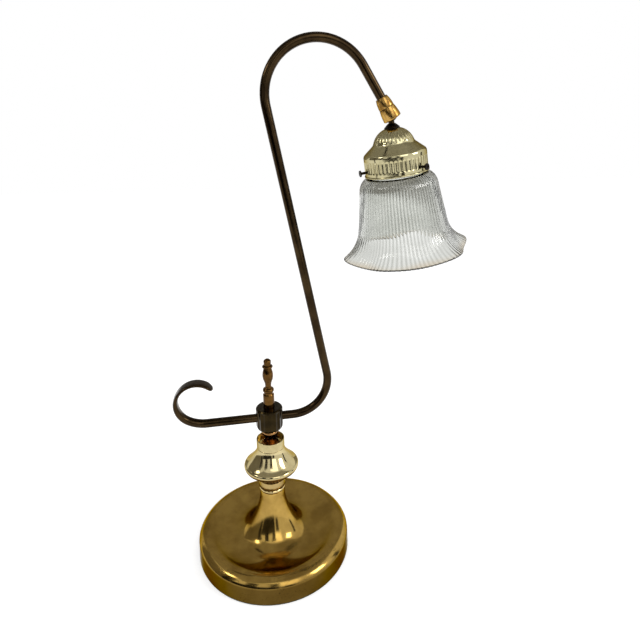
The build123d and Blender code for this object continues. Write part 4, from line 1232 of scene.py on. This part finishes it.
@dataclass
class Head:
    """What hangs from the ball: stem, collar, gallery, thumbscrews and the glass."""

    swivel: Swivel
    lean: float = 9.4
    set_back: float = 4.2
    ball_radius: float = 6.7
    neck_radius: float = 3.1
    neck_end: float = 11.0
    thread_radius: float = 5.0
    stem_end: float = 23.0
    bore: float = 2.3
    collar_top: Point = (3.9, 8.3)
    collar_bottom: float = 13.2
    collar_radius: float = 8.1
    wall: float = 0.8
    dome_top: float = 8.0
    dome_middle: Point = (16.2, 18.2)
    dome: Point = (21.0, 26.0)
    flare_foot: Point = (22.8, 28.9)
    hip: Point = (1.7, 3.6)
    side: Point = (33.1, 39.7)
    end: float = 59.4
    bead: float = 1.0
    dome_flutes: int = 24
    wall_flutes: int = 48
    flute_radius: float = 2.5
    flute_depth: float = 0.62
    flute_band: Point = (42.3, 54.7)
    screw_line: float = 53.0
    shank: float = 1.4
    screw_head: Point = (3.4, 1.6)
    stand_off: float = 5.8
    screw_tip: float = 29.2
    azimuths: dict[str, float] = field(
        default_factory=lambda: {"left": 180.0, "front": -60.0, "back": 60.0}
    )

    def __post_init__(self) -> None:
        """Sets the spindle on the shade's own axis."""
        lean, back = math.radians(self.lean), math.radians(self.set_back)
        along = Vector(
            (math.sin(lean) * math.cos(back), math.sin(back), -math.cos(lean) * math.cos(back))
        )
        side = along.cross(Vector((0.0, 1.0, 0.0))).normalized()
        self.spindle = Spindle(self.swivel.ball * MM, along, side, side.cross(along))

    def stem(self) -> None:
        """Turns the ball and its hollow stem."""
        root = math.sqrt(self.ball_radius**2 - self.neck_radius**2)
        hole = math.sqrt(self.ball_radius**2 - self.bore**2)
        outline = Outline(self.bore, -hole)
        outline.arc((self.ball_radius, 0.0), (self.neck_radius, root))
        outline.line(self.neck_radius, self.neck_end).line(self.thread_radius, self.neck_end)
        outline.line(self.thread_radius, self.stem_end).line(self.bore, self.stem_end)
        piece = turned_piece("ball_and_stem", outline.eased(0.4, True), self.spindle, 72)
        seat(piece, "head", "ball_stem", Finish.DARK_BRONZE)

    def collar(self) -> None:
        """Turns the black cone under the ball."""
        outline = Outline(self.neck_radius + 0.1, self.collar_top[1]).line(*self.collar_top)
        outline.line(self.collar_radius, self.collar_bottom - 1.0)
        outline.line(self.collar_radius, self.collar_bottom)
        outline.line(self.neck_radius + 0.1, self.collar_bottom)
        piece = turned_piece("black_cone", outline.eased(0.35, True), self.spindle, 80)
        seat(piece, "head", "swivel_collar", Finish.BLACK_METAL)

    def flute(self, radius: float, height: float, turn: float) -> float:
        """Gadroons on the dome, scalloped at their foot, and round-ended flutes on the wall."""
        lobe = abs(math.sin(turn * self.dome_flutes / 2.0))
        foot = self.dome[1] - 1.0 + 1.3 * lobe
        dome = ease(height, 14.0, 17.5) * (1.0 - ease(height, foot - 1.2, foot + 0.6))
        depth = dome * (0.55 * lobe**0.6 - 0.55)
        pitch = 2.0 * math.pi / self.wall_flutes
        off = ((turn / pitch) % 1.0 - 0.5) * pitch * self.side[0]
        low, high = self.flute_band
        nose = math.sqrt(self.flute_radius**2 - (self.flute_radius - self.flute_depth) ** 2)
        past = max(low + nose - height, height - high + nose, 0.0)
        reach = self.flute_radius**2 - off * off - past * past
        if reach <= 0.0:
            return depth
        scoop = math.sqrt(reach) - (self.flute_radius - self.flute_depth)
        return depth - max(scoop, 0.0)

    def gallery(self) -> None:
        """Turns the fluted gallery with its rolled lower bead."""
        outline = Outline(self.thread_radius + 0.1, self.collar_bottom)
        outline.line(self.dome_top, self.collar_bottom)
        outline.arc(self.dome_middle, self.dome)
        outline.bend(*self.flare_foot)
        outline.line(self.side[0] - self.hip[0], self.side[1] - self.hip[1])
        outline.arrive(*self.side, (0.0, 1.0))
        wall = self.end - 2.0 * self.bead
        count = 44
        for step in range(1, count + 1):
            outline.line(self.side[0], self.side[1] + (wall - self.side[1]) * step / count)
        outline.arc((self.side[0] + self.bead, self.end - self.bead), (self.side[0], self.end))
        skin = outline.eased(0.5)
        fine: list[Point] = [skin[0]]
        for last, after in zip(skin, skin[1:]):
            run = math.hypot(after[0] - last[0], after[1] - last[1])
            parts = max(1, math.ceil(run / 0.7))
            for part in range(1, parts + 1):
                share = part / parts
                fine.append(
                    (last[0] + (after[0] - last[0]) * share, last[1] + (after[1] - last[1]) * share)
                )
        loop = sheet_of(fine, self.wall)
        piece = turned_piece(
            "fluted_gallery", loop, self.spindle, 576, swell=self.flute, skin=len(fine), crease=50.0
        )
        seat(piece, "head", "gallery", Finish.GALLERY_BRASS)

    def thumbscrews(self) -> None:
        """Turns the three thumbscrews that pinch the glass."""
        tip = self.screw_tip
        start = self.side[0] + self.stand_off
        frame_ = self.spindle
        for name, azimuth in self.azimuths.items():
            turn = math.radians(azimuth)
            radial = frame_.side * math.cos(turn) + frame_.across * math.sin(turn)
            beside = frame_.along.cross(radial)
            origin = frame_.origin + (frame_.along * self.screw_line + radial * tip) * MM
            outline = Outline(0.0, 0.0).line(self.shank, 0.0).line(self.shank, start - tip - 1.0)
            outline.line(self.shank + 0.9, start - tip).line(self.screw_head[0], start - tip)
            outline.line(self.screw_head[0], start - tip + self.screw_head[1])
            outline.line(self.screw_head[0] * 0.62, start - tip + self.screw_head[1])
            outline.line(self.screw_head[0] * 0.5, start - tip + self.screw_head[1] - 0.4)
            outline.line(0.0, start - tip + self.screw_head[1] - 0.4)
            spindle = Spindle(origin, radial, frame_.along, beside)
            piece = turned_piece("thumbscrew_" + name, outline.eased(0.4), spindle, 48)
            seat(piece, "thumbscrew_" + name, "screw_" + name, Finish.BLACK_METAL)

    def build(self) -> None:
        """Makes the metal pieces of the head."""
        for make in (self.stem, self.collar, self.gallery, self.thumbscrews):
            make()


@dataclass
class Shade:
    """The bell of pressed glass: lipped neck, round shoulder, ribs and a ruffled rim."""

    head: Head
    wall: float = 3.0
    lip: Point = (30.0, 47.6)
    lip_height: float = 2.6
    lip_slope: float = 1.2
    neck: Point = (28.8, 58.5)
    root: Point = (2.6, 1.5)
    shoulder: Point = (41.6, 73.0)
    waist: Point = (46.2, 103.0)
    rim: Point = (66.9, 146.0)
    power: float = 3.6
    lobes: int = 6
    ruffle: float = 3.3
    dip: float = 2.6
    azimuth: float = -2.0
    ribs: int = 84
    rib_height: float = 0.28

    def bell(self, depth: float) -> float:
        """Mean outside radius of the bell below the waist."""
        slope = (self.waist[0] - self.shoulder[0]) / (self.waist[1] - self.shoulder[1])
        length = self.rim[1] - self.waist[1]
        share = max(depth - self.waist[1], 0.0) / length
        spread = self.rim[0] - self.waist[0] - slope * length
        return self.waist[0] + slope * (depth - self.waist[1]) + spread * share**self.power

    def rib(self, radius: float, depth: float, turn: float) -> float:
        """Height of the moulded ribs, which start on the shoulder and run to the rim."""
        start = ease(depth, 59.6, 63.5)
        wave = abs(math.cos(turn * self.ribs / 2.0)) ** 0.8
        return self.rib_height * start * (wave - 0.5)

    def wave(self, radius: float, depth: float, turn: float) -> Point:
        """Moves a point out and down with the ruffle of the rim."""
        share = max(depth - self.waist[1], 0.0) / (self.rim[1] - self.waist[1])
        crest = math.cos(self.lobes * (turn - math.radians(self.azimuth)))
        return (
            radius + self.ruffle * share * share * crest,
            depth - self.dip * share**3 * (0.5 + 0.5 * crest),
        )

    def build(self) -> None:
        """Turns the glass and waves its rim."""
        outline = Outline(*self.lip).line(self.lip[0], self.lip[1] + self.lip_height)
        outline.line(self.neck[0], self.lip[1] + self.lip_height + self.lip_slope)
        outline.line(*self.neck)
        outline.bend(self.neck[0] + self.root[0], self.neck[1] + self.root[1], (0.0, 1.0))
        slope = (self.waist[0] - self.shoulder[0], self.waist[1] - self.shoulder[1])
        size = math.hypot(*slope)
        outline.arrive(*self.shoulder, (slope[0] / size, slope[1] / size))
        for step in range(1, 9):
            share = step / 8.0
            outline.line(self.shoulder[0] + slope[0] * share, self.shoulder[1] + slope[1] * share)
        for step in range(1, 29):
            depth = self.waist[1] + (self.rim[1] - self.waist[1]) * step / 28.0
            outline.line(self.bell(depth), depth)
        outer = outline.eased(0.5)
        loop = Outline(*outer[0])
        loop.points = sheet_of(outer, self.wall)
        rounded = loop.eased(1.1, True)
        skin = len(rounded) - len(outer) - 4
        piece = turned_piece(
            "ribbed_shade",
            rounded,
            self.head.spindle,
            self.ribs * 8,
            swell=self.rib,
            warp=self.wave,
            skin=skin,
            crease=75.0,
        )
        seat(piece, "head", "glass_shade", Finish.SHADE_GLASS)


class Hidden(Enum):
    """Carried-over nodes that show little or not at all, and their finishes."""

    FELT_PAD = ("felt_pad", Finish.FELT)
    BASE_WEIGHT = ("base_weight", Finish.IRON)
    CORD_BUSH = ("cord_bush", Finish.BLACK_PLASTIC)
    STEM_ROD = ("stem_rod", Finish.STEEL)
    ROD_WASHER = ("rod_washer", Finish.STEEL)
    ROD_LOCKNUT = ("rod_locknut", Finish.STEEL)
    LAMP_LEAD = ("lamp_lead", Finish.LEAD_SHEATH)
    SWIVEL_PAD = ("swivel_pad", Finish.FIBRE)
    HOLDER_CAP = ("holder_cap", Finish.GALLERY_BRASS)
    HOLDER_CORE = ("holder_core", Finish.PORCELAIN)
    HOLDER_SHELL = ("holder_shell", Finish.GALLERY_BRASS)
    LAMP_THREAD = ("lamp_thread", Finish.BRIGHT_BRASS)
    CENTRE_CONTACT = ("centre_contact", Finish.BRIGHT_BRASS)

    def dress(self, nodes: Mapping[str, bpy.types.Object]) -> None:
        """Finishes the carried-over node."""
        name, finish = self.value
        finish.dress(nodes[name])
        LOG.info("%s: carried over, finished as %s", name, finish.value.name)


@dataclass
class Studio:
    """Floor, cards, lamps, world and camera."""

    lens: float = 27.413
    shift: float = -0.0782
    location: tuple[float, float, float] = (-0.03103, -0.49821, 0.45549)
    right: tuple[float, float, float] = (0.98290537, -0.18359384, -0.01379619)
    down: tuple[float, float, float] = (-0.05645281, -0.22920969, -0.97173865)
    forward: tuple[float, float, float] = (0.17524301, 0.95590597, -0.23565583)
    floor_glow: float = 0.42

    def camera(self) -> None:
        """Sets the camera at the photograph's angle."""
        data = bpy.data.cameras.new("camera")
        data.lens = self.lens
        data.sensor_width = 36.0
        data.shift_y = self.shift
        data.clip_start = 0.02
        camera = bpy.data.objects.new("camera", data)
        right, down, forward = Vector(self.right), Vector(self.down), Vector(self.forward)
        turn = Matrix((right, -down, -forward)).transposed().to_4x4()
        camera.matrix_world = Matrix.Translation(Vector(self.location)) @ turn
        bpy.context.scene.collection.objects.link(camera)
        bpy.context.scene.camera = camera

    def card(self, name: str, centre: Point | tuple, size: Point, colour: Colour) -> None:
        """Hangs a card that only polished metal and glass reflect.

        Args:
            name: Name of the card.
            centre: Its centre, in metres; it faces the lamp.
            size: Its width and height, in metres.
            colour: Its colour.
        """
        wide, tall = size[0] / 2.0, size[1] / 2.0
        mesh = bpy.data.meshes.new(name)
        corners = [(-wide, -tall, 0), (wide, -tall, 0), (wide, tall, 0), (-wide, tall, 0)]
        mesh.from_pydata(corners, [], [(0, 1, 2, 3)])
        card = bpy.data.objects.new(name, mesh)
        card.location = centre
        aim = Vector((0.0, 0.0, 0.2)) - Vector(centre)
        card.rotation_euler = aim.to_track_quat("Z", "Y").to_euler()
        card.visible_camera = False
        card.visible_diffuse = False
        card.visible_shadow = False
        bench = Bench(name)
        bench.surface({"Base Color": colour, "Roughness": 0.9})
        card.data.materials.append(bench.material)
        bpy.context.scene.collection.objects.link(card)

    def lamp(self, name: str, place: tuple, size: float, watts: float, warm: Colour) -> None:
        """Hangs a soft square lamp that faces the object."""
        data = bpy.data.lights.new(name, "AREA")
        data.shape = "SQUARE"
        data.size = size
        data.energy = watts
        data.color = warm
        lamp = bpy.data.objects.new(name, data)
        lamp.location = place
        aim = Vector((0.03, 0.0, 0.2)) - Vector(place)
        lamp.rotation_euler = aim.to_track_quat("-Z", "Y").to_euler()
        bpy.context.scene.collection.objects.link(lamp)

    def floor(self) -> None:
        """Lays the pale floor."""
        mesh = bpy.data.meshes.new("floor")
        reach = 6.0
        mesh.from_pydata(
            [(-reach, -reach, 0), (reach, -reach, 0), (reach, reach, 0), (-reach, reach, 0)],
            [],
            [(0, 1, 2, 3)],
        )
        floor = bpy.data.objects.new("floor", mesh)
        floor.location.z = -0.0003
        bench = Bench("floor_paper")
        path = bench.tree.nodes.new("ShaderNodeLightPath")
        camera, glossy, through = (
            Signal(bench, path.outputs[f"Is {kind} Ray"]) for kind in ("Camera", "Glossy", "Transmission")
        )
        seen = camera.larger(glossy).larger(through)
        glow = bench.blend(seen, (0.0, 0.0, 0.0), (self.floor_glow,) * 3)
        bench.surface(
            {
                "Base Color": (0.84, 0.84, 0.84),
                "Roughness": 0.9,
                "Specular IOR Level": 0.0,
                "Emission Color": glow,
                "Emission Strength": 1.0,
            }
        )
        floor.data.materials.append(bench.material)
        bpy.context.scene.collection.objects.link(floor)

    def world(self) -> None:
        """Sets an even pale surround."""
        world = bpy.data.worlds.new("studio")
        bpy.context.scene.world = world
        world.use_nodes = True
        tree = world.node_tree
        back = tree.nodes["Background"]
        back.inputs["Color"].default_value = (1.0, 1.0, 1.0, 1.0)
        path = tree.nodes.new("ShaderNodeLightPath")
        seen = tree.nodes.new("ShaderNodeMath")
        seen.operation = "MAXIMUM"
        tree.links.new(path.outputs["Is Camera Ray"], seen.inputs[0])
        tree.links.new(path.outputs["Is Glossy Ray"], seen.inputs[1])
        both = tree.nodes.new("ShaderNodeMath")
        both.operation = "MAXIMUM"
        tree.links.new(seen.outputs[0], both.inputs[0])
        tree.links.new(path.outputs["Is Transmission Ray"], both.inputs[1])
        level = tree.nodes.new("ShaderNodeMapRange")
        level.inputs["To Min"].default_value = 0.75
        level.inputs["To Max"].default_value = 1.0
        tree.links.new(both.outputs[0], level.inputs["Value"])
        tree.links.new(level.outputs[0], back.inputs["Strength"])

    def build(self) -> None:
        """Sets up the studio."""
        self.floor()
        self.world()
        self.lamp("window", (1.5, -0.9, 1.2), 0.6, 10.0, (1.0, 0.99, 0.97))
        self.lamp("second_window", (-1.3, -0.2, 1.4), 0.3, 2.5, (1.0, 0.98, 0.95))
        self.lamp("front_window", (0.35, -1.9, 1.5), 1.3, 9.0, (1.0, 0.99, 0.97))
        self.card("front_post", (-0.15, -1.5, 0.75), (0.34, 1.5), (0.02, 0.018, 0.016))
        self.card("left_post", (-1.0, -1.3, 0.7), (0.42, 1.7), (0.02, 0.018, 0.016))
        self.card("far_left_post", (-1.6, -0.55, 0.6), (0.30, 1.6), (0.02, 0.018, 0.016))
        self.card("right_post", (1.7, -0.1, 0.4), (0.24, 1.0), (0.03, 0.028, 0.025))
        self.card("left_cabinet", (-0.62, -0.95, 0.26), (1.3, 0.5), (0.02, 0.018, 0.016))
        self.card("front_cabinet", (0.22, -1.05, 0.24), (0.26, 0.36), (0.02, 0.018, 0.016))
        self.card("left_wall", (-2.4, 0.2, 0.9), (3.0, 2.4), (0.26, 0.24, 0.20))
        self.card("upper_wall", (0.2, 2.6, 1.6), (6.0, 3.4), (0.46, 0.44, 0.40))
        self.card("ceiling", (0.0, 0.4, 2.7), (4.6, 4.6), (0.50, 0.48, 0.44))
        self.camera()
        scene = bpy.context.scene
        scene.view_settings.view_transform = "Standard"


def main() -> None:
    """Builds the lamp's pieces in order, then the studio."""
    logging.basicConfig(level=logging.INFO, format="%(name)s %(message)s")
    arm = Arm()
    swivel = Swivel(arm)
    head = Head(swivel)
    for assembly in (Base(), Stem(), Hub(), arm, swivel, head, Shade(head)):
        assembly.build()
    for hidden in Hidden:
        hidden.dress(frame["nodes"])
    Studio().build()


if __name__ == "__main__":
    main()
